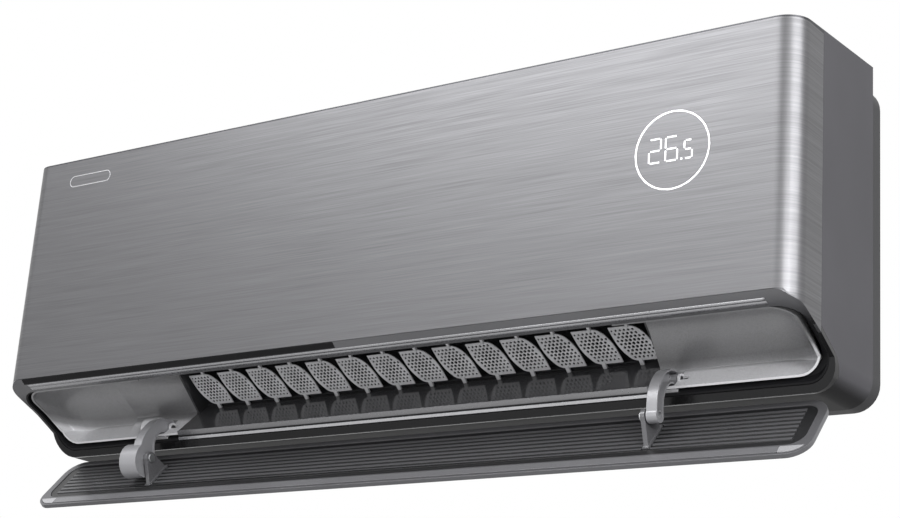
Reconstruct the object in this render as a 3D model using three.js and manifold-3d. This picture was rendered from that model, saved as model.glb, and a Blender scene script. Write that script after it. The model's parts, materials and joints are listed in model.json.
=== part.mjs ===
// Wall-hung indoor unit of a split air conditioner, shown with its air outlet open.
//
// Millimetres. X runs along the unit, Y runs towards the wall and Z runs up. The drawing below is
// made with the wall at y = 0 and the underside of the casing at z = 0; the last lines move it so
// that the origin is the middle of the mounting plate's back face.

import * as THREE from "three";
import { mergeVertices } from "three/addons/utils/BufferGeometryUtils.js";
import Module from "manifold-3d";

const wasm = await Module();
wasm.setup();

// ---------------------------------------------------------------- driving dimensions

const unitWidth = 1000;          // overall, end to end
const frontTopHeight = 335;      // top of the front, above the underside
const rearRise = 8;              // the cover's rear edge, above the front's top
const frontDepth = 191.5;        // foot of the front panel, from the wall
const frontLean = 3.5;           // how far the panel's top stands back from its foot
const frontFootHeight = 71.5;    // lower edge of the front panel
const cornerRadius = 24;         // upright front corners
const bottomRadius = 27;         // lower long corners at both ends
const panelThickness = 3;
const casingWall = 2.5;
const fitGap = 0.3;              // between pieces that seat on each other
const panelReturnDepth = 134;    // where the panel's wrapped ends stop
const chassisDepth = 20;         // rear chassis, from the wall

const mouthBevelDrop = 5.7;      // bevel below the panel's foot
const mouthBevelRun = 6.5;
const mouthFrontBand = 18.5;     // rim's front band, back from the panel's foot
const mouthSideHeight = 43.5;    // side rim at the panel's return
const lipTopDepth = 106;         // top of the outlet's sloping lower lip
const lipTopHeight = 28;
const lipFootDepth = 92;         // where the lip meets the underside
const ductEdgeDrop = 11.2;       // duct's front edge, down the lip's slope
const trayEdgeDrop = 17;         // trays' front edge
const rimEdgeDrop = 23.5;        // thin edge of the rim
const mouthCornerRadius = 26;
const mouthEndMargin = 12;       // trays' far edge, from each end of the unit
const rimEdge = 4;               // rim left at each end, outside the channel
const lipStripEnd = 16.2;        // flat strip of the lip's bar, and where its bead starts
const lipBeadStart = 17.9;
const lipGroove = 1.4;
const channelDepth = 7;          // channel between the rim's edge and the trays
const channelWall = 1.6;

const ductHalfLength = 302;      // between the duct's side walls
const ductWall = 2.4;
const sideWallReach = 10;        // duct's side walls, in front of the vane axes
const trayWall = 2.2;
const trayCrease = [-74, 37.3];  // crease between a tray's floor and its rear wall
const trayTop = [-108, 82];
const trayCrown = [-136, 88];
const trayEndRun = 46;           // length of each tray's rounded end
const rampEnd = 388;             // where the left tray's ramp meets its bowl
const rampMiddle = 362;

const vaneCount = 14;
const vaneRowMargin = 3.8;       // left at each end of the vane row
const vaneGap = 2.6;             // between one vane's pitch and its leaf's width
const vaneHeight = 41;
const vaneThickness = 1.6;
const vaneTilt = 41.5;           // slope of the vane row, down towards the wall
const vaneSeatDepth = 62.4;      // foot of the vane axes on the duct's lower wall
const vaneSeatHeight = 52;
const vaneFootGap = 5.2;
const vaneHeadGap = 5;
const vanePegRadius = 1.6;
const crankRadius = 9;
const crankAngle = 35;
const linkWidth = 4.6;
const linkThickness = 1.9;

const fanRadius = 44;
const fanHeight = 148;
const fanCoilGap = 9;            // between the fan and the coil in front of it
const bladeCount = 16;
const fanDiscs = 3;
const fanShaftRadius = 5;
const fanMotorLength = 54;
const fanMotorRadius = 40;
const scrollGap = 26;            // lower scroll's radius, beyond the fan's

const louverEndMargin = 13;      // louver's ends, from the ends of the unit
const louverShortfall = 3.6;     // louver's front edge, short of the panel's foot
const louverThickness = 5;
const louverBorder = 9;
const louverOpenTilt = 47.5;     // slope of the open louver, down to the front
const louverOpenDepth = 79;      // its rear edge, open
const louverOpenDrop = 3.2;
const louverShutLean = 0.7;      // the shut louver's slope, beyond that of the outlet
const louverShutGap = 2.8;       // its rear edge, below the outlet's plane
const louverShutSetback = 2.8;   // and behind the outlet's rear corner
const louverPinRun = 38;         // pin, from the louver's rear edge
const louverPinRise = 22;        // pin, above the louver's inner face
const armPivotOffset = 38;       // pivot, from the middle of the pin's two places

const armHubRadius = 9;
const armThickness = 11.5;
const armSideGap = 1.5;
const pinRadius = 3;
const bracketThickness = 5;
const rightBracketOffset = 11;   // inner face of the right bracket, outside the duct
const leftBracketOffset = 19;
const drumRadiusAcross = 16.5;   // housing of the tilt motor, an oval
const drumRadiusAlong = 19.5;
const drumLength = 25;

const plateThickness = 1.5;
const plateHalfLength = 400;
const plateLow = 80;
const plateHigh = 280;
const plateScrewX = [-340, -150, 150, 340];
const plateScrewRise = 40;       // screw holes, above the plate's middle
const plateScrewRadius = 2.6;
const hookX = 250;               // the two hooks that carry the unit
const hookHeight = 262;
const hookWidth = 20;
const hookLegThickness = 2;
const hookTipHeight = 14;
const hookTipThickness = 1.6;

const chassisInset = 1;          // rear chassis, inside the cover's outline
const chassisDrop = 13;          // its top, below the cover's rear edge
const chassisWall = 3;
const chassisWallDepth = 15.5;   // front face of its rear wall
const skirtOverlap = 3;          // the cover's turned-down rear edge, in front of the chassis
const endPlateGap = 10;          // plates beside the fan, from the duct's side walls
const endPlateThickness = 3;

const coilThickness = 24;
const coilFrontGap = 29.5;       // front face of the upright slab, behind the panel's foot
const coilFootRise = 17.1;       // foot of the upright slab, above the duct's ceiling
const coilKnee = 216;            // where the front slab turns back
const coilApexDepth = 92;
const coilApexHeight = 292;
const coilRearDepth = 44;
const coilRearFoot = 222;
const coilPlateThickness = 2;

const boxNearGap = 28;           // control box, outside the plate beside the fan
const boxEndGap = 15;            // its far end, from the end of the unit
const boxFrontGap = 19.5;        // its front, behind the panel's foot
const boxDepth = 42;
const boxLow = 105;
const boxTopGap = 35;            // its top, below the top of the front
const boxWall = 2;

const badgeEndGap = 64;          // pill plate, from the left end
const badgeTopGap = 20;
const badgeLength = 66;
const badgeWidth = 14;
const badgeDepth = 0.9;
const ringEndGap = 127;          // middle of the display ring, from the right end
const ringTopGap = 116;
const ringRadius = 39;
const ringLine = 1.5;
const ringDepth = 0.8;
const stripEndGap = 28;          // window strip under the panel, from the left end
const stripLength = 457;
const stripThickness = 0.8;
const inletEndGap = 60;          // air inlet in the top, from each end
const inletFrontGap = 31.5;      // its front edge, behind the panel's foot
const inletRearDepth = 42;
const windowEndGap = 80;         // opening in the inner front, from the left end
const windowLow = 118;

// ---------------------------------------------------------------- sizes worked out from them

const halfWidth = unitWidth / 2;
const rearTopHeight = frontTopHeight + rearRise;
const chassisTop = rearTopHeight - chassisDrop;
const coilFrontDepth = frontDepth - coilFrontGap;
const coilRearFace = coilFrontDepth - coilThickness;
const scrollRadius = fanRadius + scrollGap;
const fanDepth = coilRearFace - fanCoilGap - fanRadius;
const endPlateX = ductHalfLength + endPlateGap;
const fanHalfLength = ductHalfLength + 2;
const coilHalfLength = endPlateX + 6;
const fanMotorX = endPlateX + 14;
const vanePitch = (2 * (ductHalfLength - vaneRowMargin)) / vaneCount;
const vaneWidth = vanePitch - vaneGap;
const boxNear = endPlateX + boxNearGap;
const boxFar = halfWidth - boxEndGap;
const boxFront = frontDepth - boxFrontGap;
const boxRear = boxFront - boxDepth;
const boxHigh = frontTopHeight - boxTopGap;
const inletHalfLength = halfWidth - inletEndGap;
const inletFront = -(frontDepth - inletFrontGap);
const inletRear = -inletRearDepth;
const badgeLeft = -halfWidth + badgeEndGap;
const badgeRight = badgeLeft + badgeLength;
const badgeHigh = frontTopHeight - badgeTopGap;
const badgeLow = badgeHigh - badgeWidth;
const ringCentreX = halfWidth - ringEndGap;
const ringCentreZ = frontTopHeight - ringTopGap;
const stripLeft = -halfWidth + stripEndGap;
const stripRight = stripLeft + stripLength;
const rightBracketX = ductHalfLength + rightBracketOffset;
const leftBracketX = ductHalfLength + leftBracketOffset;
const louverHalf = halfWidth - louverEndMargin;

// ---------------------------------------------------------------- small geometry helpers

const degrees = Math.PI / 180;

function toSolid(geometry) {
  const bare = geometry.clone();
  bare.deleteAttribute("normal");
  bare.deleteAttribute("uv");
  const merged = mergeVertices(bare, 1e-4);
  return new wasm.Manifold(new wasm.Mesh({
    numProp: 3,
    vertProperties: new Float32Array(merged.attributes.position.array),
    triVerts: new Uint32Array(merged.index.array),
  }));
}

function toGeometry(solid) {
  const mesh = solid.getMesh();
  const geometry = new THREE.BufferGeometry();
  geometry.setAttribute("position", new THREE.BufferAttribute(new Float32Array(mesh.vertProperties), 3));
  geometry.setIndex(new THREE.BufferAttribute(new Uint32Array(mesh.triVerts), 1));
  geometry.computeVertexNormals();
  return geometry;
}

function join(first, ...others) {
  return others.reduce((whole, piece) => whole.add(piece), first);
}

function cut(whole, ...tools) {
  return tools.reduce((rest, tool) => rest.subtract(tool), whole);
}

function common(first, ...others) {
  return others.reduce((whole, piece) => whole.intersect(piece), first);
}

function outlineOf(points) {
  return new THREE.Shape(points.map(([a, b]) => new THREE.Vector2(a, b)));
}

function extruded(shape, length, curveSegments = 6) {
  return new THREE.ExtrudeGeometry(shape, { depth: length, bevelEnabled: false, curveSegments, steps: 1 });
}

// An outline drawn in (y, z), swept from one x to another.
function sweepAlongX(shape, from, to, curveSegments) {
  const geometry = extruded(shape, to - from, curveSegments);
  const turn = new THREE.Matrix4().makeBasis(
    new THREE.Vector3(0, 1, 0),
    new THREE.Vector3(0, 0, 1),
    new THREE.Vector3(1, 0, 0),
  );
  geometry.applyMatrix4(turn);
  geometry.translate(from, 0, 0);
  return toSolid(geometry);
}

// An outline drawn in (x, z), swept from one y to another.
function sweepAlongY(shape, from, to, curveSegments) {
  const geometry = extruded(shape, to - from, curveSegments);
  geometry.rotateX(Math.PI / 2);
  geometry.translate(0, to, 0);
  return toSolid(geometry);
}

// An outline drawn in (x, y), swept from one z to another.
function sweepAlongZ(shape, from, to, curveSegments) {
  const geometry = extruded(shape, to - from, curveSegments);
  geometry.translate(0, 0, from);
  return toSolid(geometry);
}

function block(x0, x1, y0, y1, z0, z1) {
  const geometry = new THREE.BoxGeometry(x1 - x0, y1 - y0, z1 - z0);
  geometry.translate((x0 + x1) / 2, (y0 + y1) / 2, (z0 + z1) / 2);
  return toSolid(geometry);
}

function rodAlongX(radius, x0, x1, y, z, sides = 12) {
  const geometry = new THREE.CylinderGeometry(radius, radius, x1 - x0, sides);
  geometry.rotateZ(Math.PI / 2);
  geometry.translate((x0 + x1) / 2, y, z);
  return toSolid(geometry);
}

function rodAlongY(radius, y0, y1, x, z, sides = 12) {
  const geometry = new THREE.CylinderGeometry(radius, radius, y1 - y0, sides);
  geometry.translate(x, (y0 + y1) / 2, z);
  return toSolid(geometry);
}

function roundedRectangle(x0, x1, y0, y1, radius) {
  const shape = new THREE.Shape();
  shape.moveTo(x0 + radius, y0);
  shape.lineTo(x1 - radius, y0);
  shape.absarc(x1 - radius, y0 + radius, radius, -Math.PI / 2, 0);
  shape.lineTo(x1, y1 - radius);
  shape.absarc(x1 - radius, y1 - radius, radius, 0, Math.PI / 2);
  shape.lineTo(x0 + radius, y1);
  shape.absarc(x0 + radius, y1 - radius, radius, Math.PI / 2, Math.PI);
  shape.lineTo(x0, y0 + radius);
  shape.absarc(x0 + radius, y0 + radius, radius, Math.PI, Math.PI * 1.5);
  return shape;
}

function shifted(point, direction, distance) {
  return [point[0] + direction[0] * distance, point[1] + direction[1] * distance];
}

// The outline moved inwards by the same distance on every side. Points run anticlockwise.
function inset(points, distance) {
  const count = points.length;
  const edges = points.map(([a, b], i) => {
    const [c, d] = points[(i + 1) % count];
    const length = Math.hypot(c - a, d - b);
    const normal = [-(d - b) / length, (c - a) / length];
    return { normal, offset: normal[0] * a + normal[1] * b + distance };
  });
  return points.map((point, i) => {
    const before = edges[(i + count - 1) % count];
    const after = edges[i];
    const scale = before.normal[0] * after.normal[1] - before.normal[1] * after.normal[0];
    return [
      (before.offset * after.normal[1] - after.offset * before.normal[1]) / scale,
      (before.normal[0] * after.offset - after.normal[0] * before.offset) / scale,
    ];
  });
}

function finish(color, roughness, metalness) {
  return () => new THREE.MeshStandardMaterial({ color, roughness, metalness });
}

const brushedGrey = finish(0x8e8e92, 0.34, 0.8);
const sideGrey = finish(0x616065, 0.5, 0.2);
const satinGrey = finish(0x8a8a8f, 0.4, 0.3);
const darkGloss = finish(0x161618, 0.12, 0.1);
const darkPlastic = finish(0x3c3c3e, 0.45, 0.05);
const brightMetal = finish(0xd0d0d4, 0.18, 0.95);
const zincSteel = finish(0xa6a8aa, 0.4, 0.9);
const aluminium = finish(0xc4c8cc, 0.35, 0.9);
const blackPlastic = finish(0x1c1c1e, 0.5, 0);
const whiteLight = finish(0xf2f4f6, 0.4, 0);
const boardGreen = finish(0x2c5a3a, 0.5, 0);
const filterMesh = finish(0x2a2b2d, 0.6, 0);

const unit = new THREE.Group();

function addPiece(name, solid, material, parent = unit) {
  const mesh = new THREE.Mesh(toGeometry(solid), material());
  mesh.name = name;
  parent.add(mesh);
  return mesh;
}

// ---------------------------------------------------------------- casing envelope

// Side view in (y, z), anticlockwise, from the rear of the underside.
const sideProfile = [
  [-chassisDepth, rearTopHeight],
  [-(frontDepth - frontLean), frontTopHeight],
  [-frontDepth, frontFootHeight],
  [-(frontDepth - mouthBevelRun), frontFootHeight - mouthBevelDrop],
  [-panelReturnDepth, mouthSideHeight],
  [-lipTopDepth, lipTopHeight],
  [-lipFootDepth, 0],
  [-chassisDepth, 0],
];

function leanOutline(margin) {
  const shape = new THREE.Shape();
  const x = halfWidth - margin;
  const radius = cornerRadius - margin;
  const front = -(frontDepth - margin);
  shape.moveTo(x, 0);
  shape.lineTo(-x, 0);
  shape.lineTo(-x, front + radius);
  shape.absarc(-x + radius, front + radius, radius, Math.PI, Math.PI * 1.5);
  shape.lineTo(x - radius, front);
  shape.absarc(x - radius, front + radius, radius, -Math.PI / 2, 0);
  return shape;
}

// Plan outline swept upwards and leaned back with the front panel.
function leanColumn(margin) {
  const geometry = extruded(leanOutline(margin), rearTopHeight + 40, 4);
  geometry.translate(0, 0, -20);
  const slope = frontLean / (frontTopHeight - frontFootHeight);
  const lean = new THREE.Matrix4().makeShear(0, 0, 0, 0, 0, 0);
  lean.elements[9] = slope;
  lean.elements[13] = -slope * frontFootHeight;
  geometry.applyMatrix4(lean);
  return toSolid(geometry);
}

function endOutline(margin) {
  const x = halfWidth - margin;
  const radius = bottomRadius - margin;
  const shape = new THREE.Shape();
  shape.moveTo(-x + radius, margin);
  shape.lineTo(x - radius, margin);
  shape.absarc(x - radius, margin + radius, radius, -Math.PI / 2, 0);
  shape.lineTo(x, rearTopHeight + 30);
  shape.lineTo(-x, rearTopHeight + 30);
  shape.lineTo(-x, margin + radius);
  shape.absarc(-x + radius, margin + radius, radius, Math.PI, Math.PI * 1.5);
  return shape;
}

function profileColumn(margin) {
  return sweepAlongX(outlineOf(inset(sideProfile, margin)), -halfWidth, halfWidth);
}

// The whole casing as one solid, drawn in by a margin on every face.
function envelope(margin) {
  return common(
    profileColumn(margin),
    sweepAlongY(endOutline(margin), -frontDepth - 20, 20, 4),
    leanColumn(margin),
  );
}

// ---------------------------------------------------------------- outlet mouth

const bevelFoot = [-(frontDepth - mouthBevelRun), frontFootHeight - mouthBevelDrop];
const rimSlope = (bevelFoot[1] - mouthSideHeight) / (-panelReturnDepth - bevelFoot[0]);
const mouthFront = [-(frontDepth - mouthFrontBand), 0];
mouthFront[1] = bevelFoot[1] - rimSlope * (mouthFront[0] - bevelFoot[0]);

const lipLength = Math.hypot(lipTopDepth - lipFootDepth, lipTopHeight);
const lipDown = [(lipTopDepth - lipFootDepth) / lipLength, -lipTopHeight / lipLength];

const lipInward = [-lipDown[1], lipDown[0]];

function lipAt(drop) {
  return shifted([-lipTopDepth, lipTopHeight], lipDown, drop);
}

const mouthRear = lipAt(ductEdgeDrop);
const mouthLength = Math.hypot(mouthFront[0] - mouthRear[0], mouthFront[1] - mouthRear[1]);
const mouthRun = [
  (mouthFront[0] - mouthRear[0]) / mouthLength,
  (mouthFront[1] - mouthRear[1]) / mouthLength,
];
const mouthInward = [mouthRun[1], -mouthRun[0]];
const mouthOutward = [-mouthInward[0], -mouthInward[1]];

// How far behind the mouth's rear edge a place down the lip's slope lies.
function reachAt(drop) {
  return -(drop - ductEdgeDrop) * (lipDown[0] * mouthRun[0] + lipDown[1] * mouthRun[1]);
}

// An outline drawn on the mouth (x, distance back from its rear edge), swept along a direction in (y, z).
function mouthSweep(shape, direction, from, to) {
  const geometry = extruded(shape, to - from, 4);
  geometry.translate(0, 0, from);
  const basis = new THREE.Matrix4().makeBasis(
    new THREE.Vector3(1, 0, 0),
    new THREE.Vector3(0, -mouthRun[0], -mouthRun[1]),
    new THREE.Vector3(0, direction[0], direction[1]),
  );
  geometry.applyMatrix4(basis);
  geometry.translate(0, mouthRear[0], mouthRear[1]);
  return toSolid(geometry);
}

// Room swept inwards through the mouth, as far as endGap from the unit's ends and a drop down the lip.
function mouthRoom(endGap, drop, margin, from, to) {
  const half = halfWidth - endGap - margin;
  const rear = reachAt(drop) - margin;
  const shape = roundedRectangle(-half, half, -(mouthLength - margin), rear, mouthCornerRadius - margin);
  return mouthSweep(shape, mouthInward, from, to);
}

// ---------------------------------------------------------------- duct and vane frame

const vaneDown = [Math.cos(vaneTilt * degrees), -Math.sin(vaneTilt * degrees)];
const vaneSeat = [-vaneSeatDepth, vaneSeatHeight];
const vaneTopGap = vaneFootGap + vaneHeight + vaneHeadGap;
const ceilingPoint = [vaneSeat[0] - vaneDown[0] * vaneTopGap, vaneSeat[1] - vaneDown[1] * vaneTopGap];
const lipInner = shifted(mouthRear, lipInward, panelThickness + fitGap);
const lowerLength = Math.hypot(vaneSeat[0] - lipInner[0], vaneSeat[1] - lipInner[1]);
const lowerRun = [(vaneSeat[0] - lipInner[0]) / lowerLength, (vaneSeat[1] - lipInner[1]) / lowerLength];
const lowerAngle = Math.atan2(lowerRun[1], lowerRun[0]);
const scrollStart = [vaneSeat[0] + lowerRun[0] * 4, vaneSeat[1] + lowerRun[1] * 4];
const scrollCentre = [
  scrollStart[0] - scrollRadius * Math.sin(lowerAngle),
  scrollStart[1] + scrollRadius * Math.cos(lowerAngle),
];
const ceilingLip = [mouthFront[0] + 3, mouthFront[1] + panelThickness];
const coilFoot = ceilingPoint[1] + coilFootRise;
const fanCentre = [-fanDepth, fanHeight];

function scrollPoint(angle, outwards = 0) {
  const radius = scrollRadius + outwards;
  return [scrollCentre[0] + radius * Math.sin(angle), scrollCentre[1] - radius * Math.cos(angle)];
}

function scrollArc(from, to, steps, outwards) {
  const points = [];
  for (let i = 0; i <= steps; i += 1) {
    points.push(scrollPoint(from + ((to - from) * i) / steps, outwards));
  }
  return points;
}

// ---------------------------------------------------------------- louver linkage

const chordRun = bevelFoot[0] + lipTopDepth;
const chordRise = bevelFoot[1] - lipTopHeight;
const chordTilt = Math.atan2(chordRise, -chordRun);
const louverWidth = Math.hypot(chordRun, chordRise) - louverShortfall;
const chordAway = [-Math.cos(chordTilt), Math.sin(chordTilt)];
const chordBelow = [-chordAway[1], chordAway[0]];
const shutTilt = chordTilt + louverShutLean * degrees;
const openAway = [-Math.cos(louverOpenTilt * degrees), -Math.sin(louverOpenTilt * degrees)];
const shutAway = [-Math.cos(shutTilt), Math.sin(shutTilt)];
const openInward = [openAway[1], -openAway[0]];
const shutInward = [shutAway[1], -shutAway[0]];
const louverOpenRear = [-louverOpenDepth, -louverOpenDrop];
const louverShutRear = shifted(
  shifted([-lipTopDepth, lipTopHeight], chordAway, -louverShutSetback),
  chordBelow,
  louverShutGap,
);
const pinOpen = shifted(shifted(louverOpenRear, openAway, louverPinRun), openInward, louverPinRise);
const pinShut = shifted(shifted(louverShutRear, shutAway, louverPinRun), shutInward, louverPinRise);
const pinTravel = Math.hypot(pinOpen[0] - pinShut[0], pinOpen[1] - pinShut[1]);
const pinMiddle = [(pinOpen[0] + pinShut[0]) / 2, (pinOpen[1] + pinShut[1]) / 2];
const acrossTravel = [(pinShut[1] - pinOpen[1]) / pinTravel, (pinOpen[0] - pinShut[0]) / pinTravel];
const armPivot = shifted(pinMiddle, acrossTravel, armPivotOffset);

// ---------------------------------------------------------------- outer skins

// The space that the wrapped panel fills, grown by a clearance.
function panelRoom(clearance) {
  const keep = sweepAlongX(outlineOf([
    [-panelReturnDepth - fitGap + clearance, mouthSideHeight + 0.1 - clearance],
    [-panelReturnDepth - fitGap + clearance, rearTopHeight + 30],
    [-frontDepth - 20, rearTopHeight + 30],
    [-frontDepth - 20, frontFootHeight - clearance],
    [-frontDepth + panelThickness, frontFootHeight - clearance],
    [-(frontDepth - mouthBevelRun), frontFootHeight - mouthBevelDrop + 1 - clearance],
  ]), -halfWidth - 1, halfWidth + 1);
  return common(cut(leanColumn(-1), leanColumn(panelThickness + clearance)), keep);
}

function frontPanel() {
  const sheet = common(panelRoom(0), leanColumn(0), sweepAlongX(outlineOf(sideProfile), -halfWidth, halfWidth));
  return cut(sheet, badgeOutline(0), ringSolid(0.1, 0));
}

// Solids set into the sloping front face: drawn upright, then leaned with the panel.
function leanedFromFront(solidGeometry) {
  const slope = frontLean / (frontTopHeight - frontFootHeight);
  const lean = new THREE.Matrix4();
  lean.elements[9] = slope;
  lean.elements[13] = -frontDepth - slope * frontFootHeight;
  solidGeometry.applyMatrix4(lean);
  return toSolid(solidGeometry);
}

function setIntoFront(shape, proud, deep, curveSegments) {
  const geometry = extruded(shape, proud + deep, curveSegments);
  geometry.rotateX(Math.PI / 2);
  geometry.translate(0, deep, 0);
  return leanedFromFront(geometry);
}

function badgeOutline(margin) {
  const radius = (badgeHigh - badgeLow) / 2 - margin;
  const shape = roundedRectangle(
    badgeLeft + margin,
    badgeRight - margin,
    badgeLow + margin,
    badgeHigh - margin,
    radius - 0.01,
  );
  return setIntoFront(shape, margin > 0 ? 0 : 1, badgeDepth - margin, 3);
}

function ringSolid(grow, shrink) {
  const shape = new THREE.Shape();
  shape.absarc(ringCentreX, ringCentreZ, ringRadius + ringLine / 2 + grow, 0, Math.PI * 2);
  const hole = new THREE.Path();
  hole.absarc(ringCentreX, ringCentreZ, ringRadius - ringLine / 2 - grow, 0, Math.PI * 2, true);
  shape.holes.push(hole);
  return setIntoFront(shape, grow > 0 ? 1 : 0, ringDepth - shrink, 12);
}

addPiece("front_panel", frontPanel(), brushedGrey);
addPiece("badge_plate", badgeOutline(0.3), darkPlastic);
addPiece("display_ring", ringSolid(-0.2, 0.3), whiteLight);

// The rim round the outlet, grown by a clearance where a neighbour is cut to suit it.
function rimSolid(clearance) {
  const band = cut(envelope(-clearance), envelope(panelThickness + clearance));
  const behind = panelThickness + 0.6;
  const reach = [
    [-lipFootDepth + behind, -1],
    [-lipFootDepth + behind, casingWall + 10],
    [-lipTopDepth + behind, lipTopHeight + 3],
    [-panelReturnDepth + 1.6, mouthSideHeight + 5],
    [bevelFoot[0] + 2.6, frontFootHeight + 2],
    [-frontDepth + panelThickness, frontFootHeight - fitGap],
    [-frontDepth - 1, frontFootHeight - fitGap],
    [-frontDepth - 1, -1],
  ];
  const grown = sweepAlongX(outlineOf(inset(reach, -clearance)), -halfWidth - 1, halfWidth + 1);
  const opening = mouthRoom(rimEdge, rimEdgeDrop, clearance, -40, 40);
  return cut(common(band, grown), opening, panelRoom(fitGap - clearance));
}

// A strip let into a flat face between two points in (y, z), from one x to another.
function letIn(low, high, normal, x0, x1, sink, proud) {
  return sweepAlongX(outlineOf([
    shifted(low, normal, -sink),
    shifted(high, normal, -sink),
    shifted(high, normal, proud),
    shifted(low, normal, proud),
  ].reverse()), x0, x1);
}

// A glossy window strip let into the bevel under the panel's foot.
function bevelStrip(clearance, sink) {
  const run = mouthBevelRun - 0.6;
  const drop = mouthBevelDrop - 0.6;
  const length = Math.hypot(run, drop);
  const normal = [drop / length, run / length];
  const low = [-(frontDepth - run), frontFootHeight - fitGap - drop];
  const high = [-frontDepth + 0.3, frontFootHeight - fitGap - 0.3];
  const x0 = stripLeft + clearance;
  const x1 = stripRight - clearance;
  return letIn(low, high, normal, x0, x1, sink, stripThickness - clearance);
}

// Bar along the lower lip between the trays: a flat strip above and a bead below, parted by a groove.
function lipBar() {
  const half = ductHalfLength + ductWall;
  const face = (drop, depth) => shifted(lipAt(drop), lipInward, depth);
  const bar = sweepAlongX(outlineOf([
    face(ductEdgeDrop, 0),
    face(lipStripEnd, 0),
    face(lipStripEnd, lipGroove),
    face(lipBeadStart, lipGroove),
    face(lipBeadStart + 1, 0),
    face(rimEdgeDrop - 1.6, 0),
    face(rimEdgeDrop - 0.6, 1.2),
    face(rimEdgeDrop - 0.6, panelThickness),
    face(ductEdgeDrop, panelThickness),
  ]), -half, half);
  return cut(bar, rimSolid(fitGap));
}

function frontCasing() {
  const rear = -chassisDepth - fitGap;
  const seam = -panelReturnDepth;
  const overlap = 6;
  const under = panelThickness + fitGap;
  const rearPart = common(
    cut(envelope(0), envelope(casingWall)),
    block(-halfWidth, halfWidth, seam, rear, -1, rearTopHeight + 30),
  );
  const frontPart = common(
    cut(envelope(under), envelope(under + casingWall)),
    block(-halfWidth, halfWidth, -frontDepth, seam + overlap, -1, rearTopHeight + 30),
  );
  const collar = common(
    cut(envelope(0), envelope(under + casingWall)),
    block(-halfWidth, halfWidth, seam, seam + overlap, mouthSideHeight + 4, rearTopHeight + 30),
  );
  const window = block(
    -halfWidth + windowEndGap,
    ringCentreX - ringRadius - 4,
    -frontDepth,
    seam - 30,
    windowLow,
    frontTopHeight - 22,
  );
  const displayWindow = rodAlongY(ringRadius + 4, -frontDepth, seam - 30, ringCentreX, ringCentreZ, 16);
  const inlet = block(-inletHalfLength, inletHalfLength, inletFront, inletRear, 300, rearTopHeight + 30);
  const mouthRelief = join(
    mouthRoom(mouthEndMargin, ductEdgeDrop, -6, -40, 40),
    cut(mouthRoom(rimEdge, rimEdgeDrop, 0, -40, 60), profileColumn(channelDepth + channelWall + fitGap)),
  );
  const inner = halfWidth - casingWall;
  const back = sweepAlongX(outlineOf(inset(sideProfile, casingWall)), -inner, inner);
  const backOpening = common(
    back.translate([0, 10, 0]),
    sweepAlongY(endOutline(casingWall), -chassisDepth - 6, 0, 4),
    block(-halfWidth, halfWidth, -chassisDepth - 6, 0, 0, chassisTop - skirtOverlap),
  );
  const shell = cut(join(rearPart, frontPart, collar), window, displayWindow, inlet, mouthRelief, backOpening);
  return cut(shell, rimSolid(fitGap), panelRoom(fitGap));
}

addPiece("front_casing", frontCasing(), sideGrey);

addPiece("outlet_rim", cut(rimSolid(0), bevelStrip(0, 0.6)), satinGrey);
addPiece("window_strip", bevelStrip(0.2, 0.3), darkGloss);
addPiece("lower_lip_trim", lipBar(), brightMetal);

// ---------------------------------------------------------------- outlet duct

const lowerSheet = [
  lipInner,
  ...scrollArc(lowerAngle, Math.PI / 2, 6, 0),
  [scrollCentre[0] + scrollRadius + ductWall, scrollCentre[1]],
  ...scrollArc(lowerAngle, Math.PI / 2, 6, ductWall).reverse().slice(1),
  [lipInner[0] + ductWall * Math.sin(lowerAngle), lipInner[1] - ductWall * Math.cos(lowerAngle)],
].reverse();

const ceilingLength = Math.hypot(ceilingPoint[0] - ceilingLip[0], ceilingPoint[1] - ceilingLip[1]);
const ceilingRun = [
  (ceilingPoint[0] - ceilingLip[0]) / ceilingLength,
  (ceilingPoint[1] - ceilingLip[1]) / ceilingLength,
];
const ceilingUp = [-ceilingRun[1], ceilingRun[0]];
const ceilingEnd = shifted(ceilingPoint, ceilingRun, 2.5);

function vaneFrame(x) {
  const frame = new THREE.Group();
  frame.position.set(x, vaneSeat[0], vaneSeat[1]);
  frame.rotation.x = (90 - vaneTilt) * degrees;
  frame.updateMatrix();
  return frame;
}

function placedInVaneFrame(solidGeometry, x) {
  solidGeometry.applyMatrix4(vaneFrame(x).matrix);
  return toSolid(solidGeometry);
}

function vaneX(index) {
  return (index - (vaneCount - 1) / 2) * vanePitch;
}

function pegHole(x, low, high) {
  const sides = 5;
  const radius = (vanePegRadius + fitGap) / Math.cos(Math.PI / sides);
  const geometry = new THREE.CylinderGeometry(radius, radius, high - low, sides);
  geometry.rotateX(Math.PI / 2);
  geometry.translate(0, 0, (low + high) / 2);
  return placedInVaneFrame(geometry, x);
}

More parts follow.
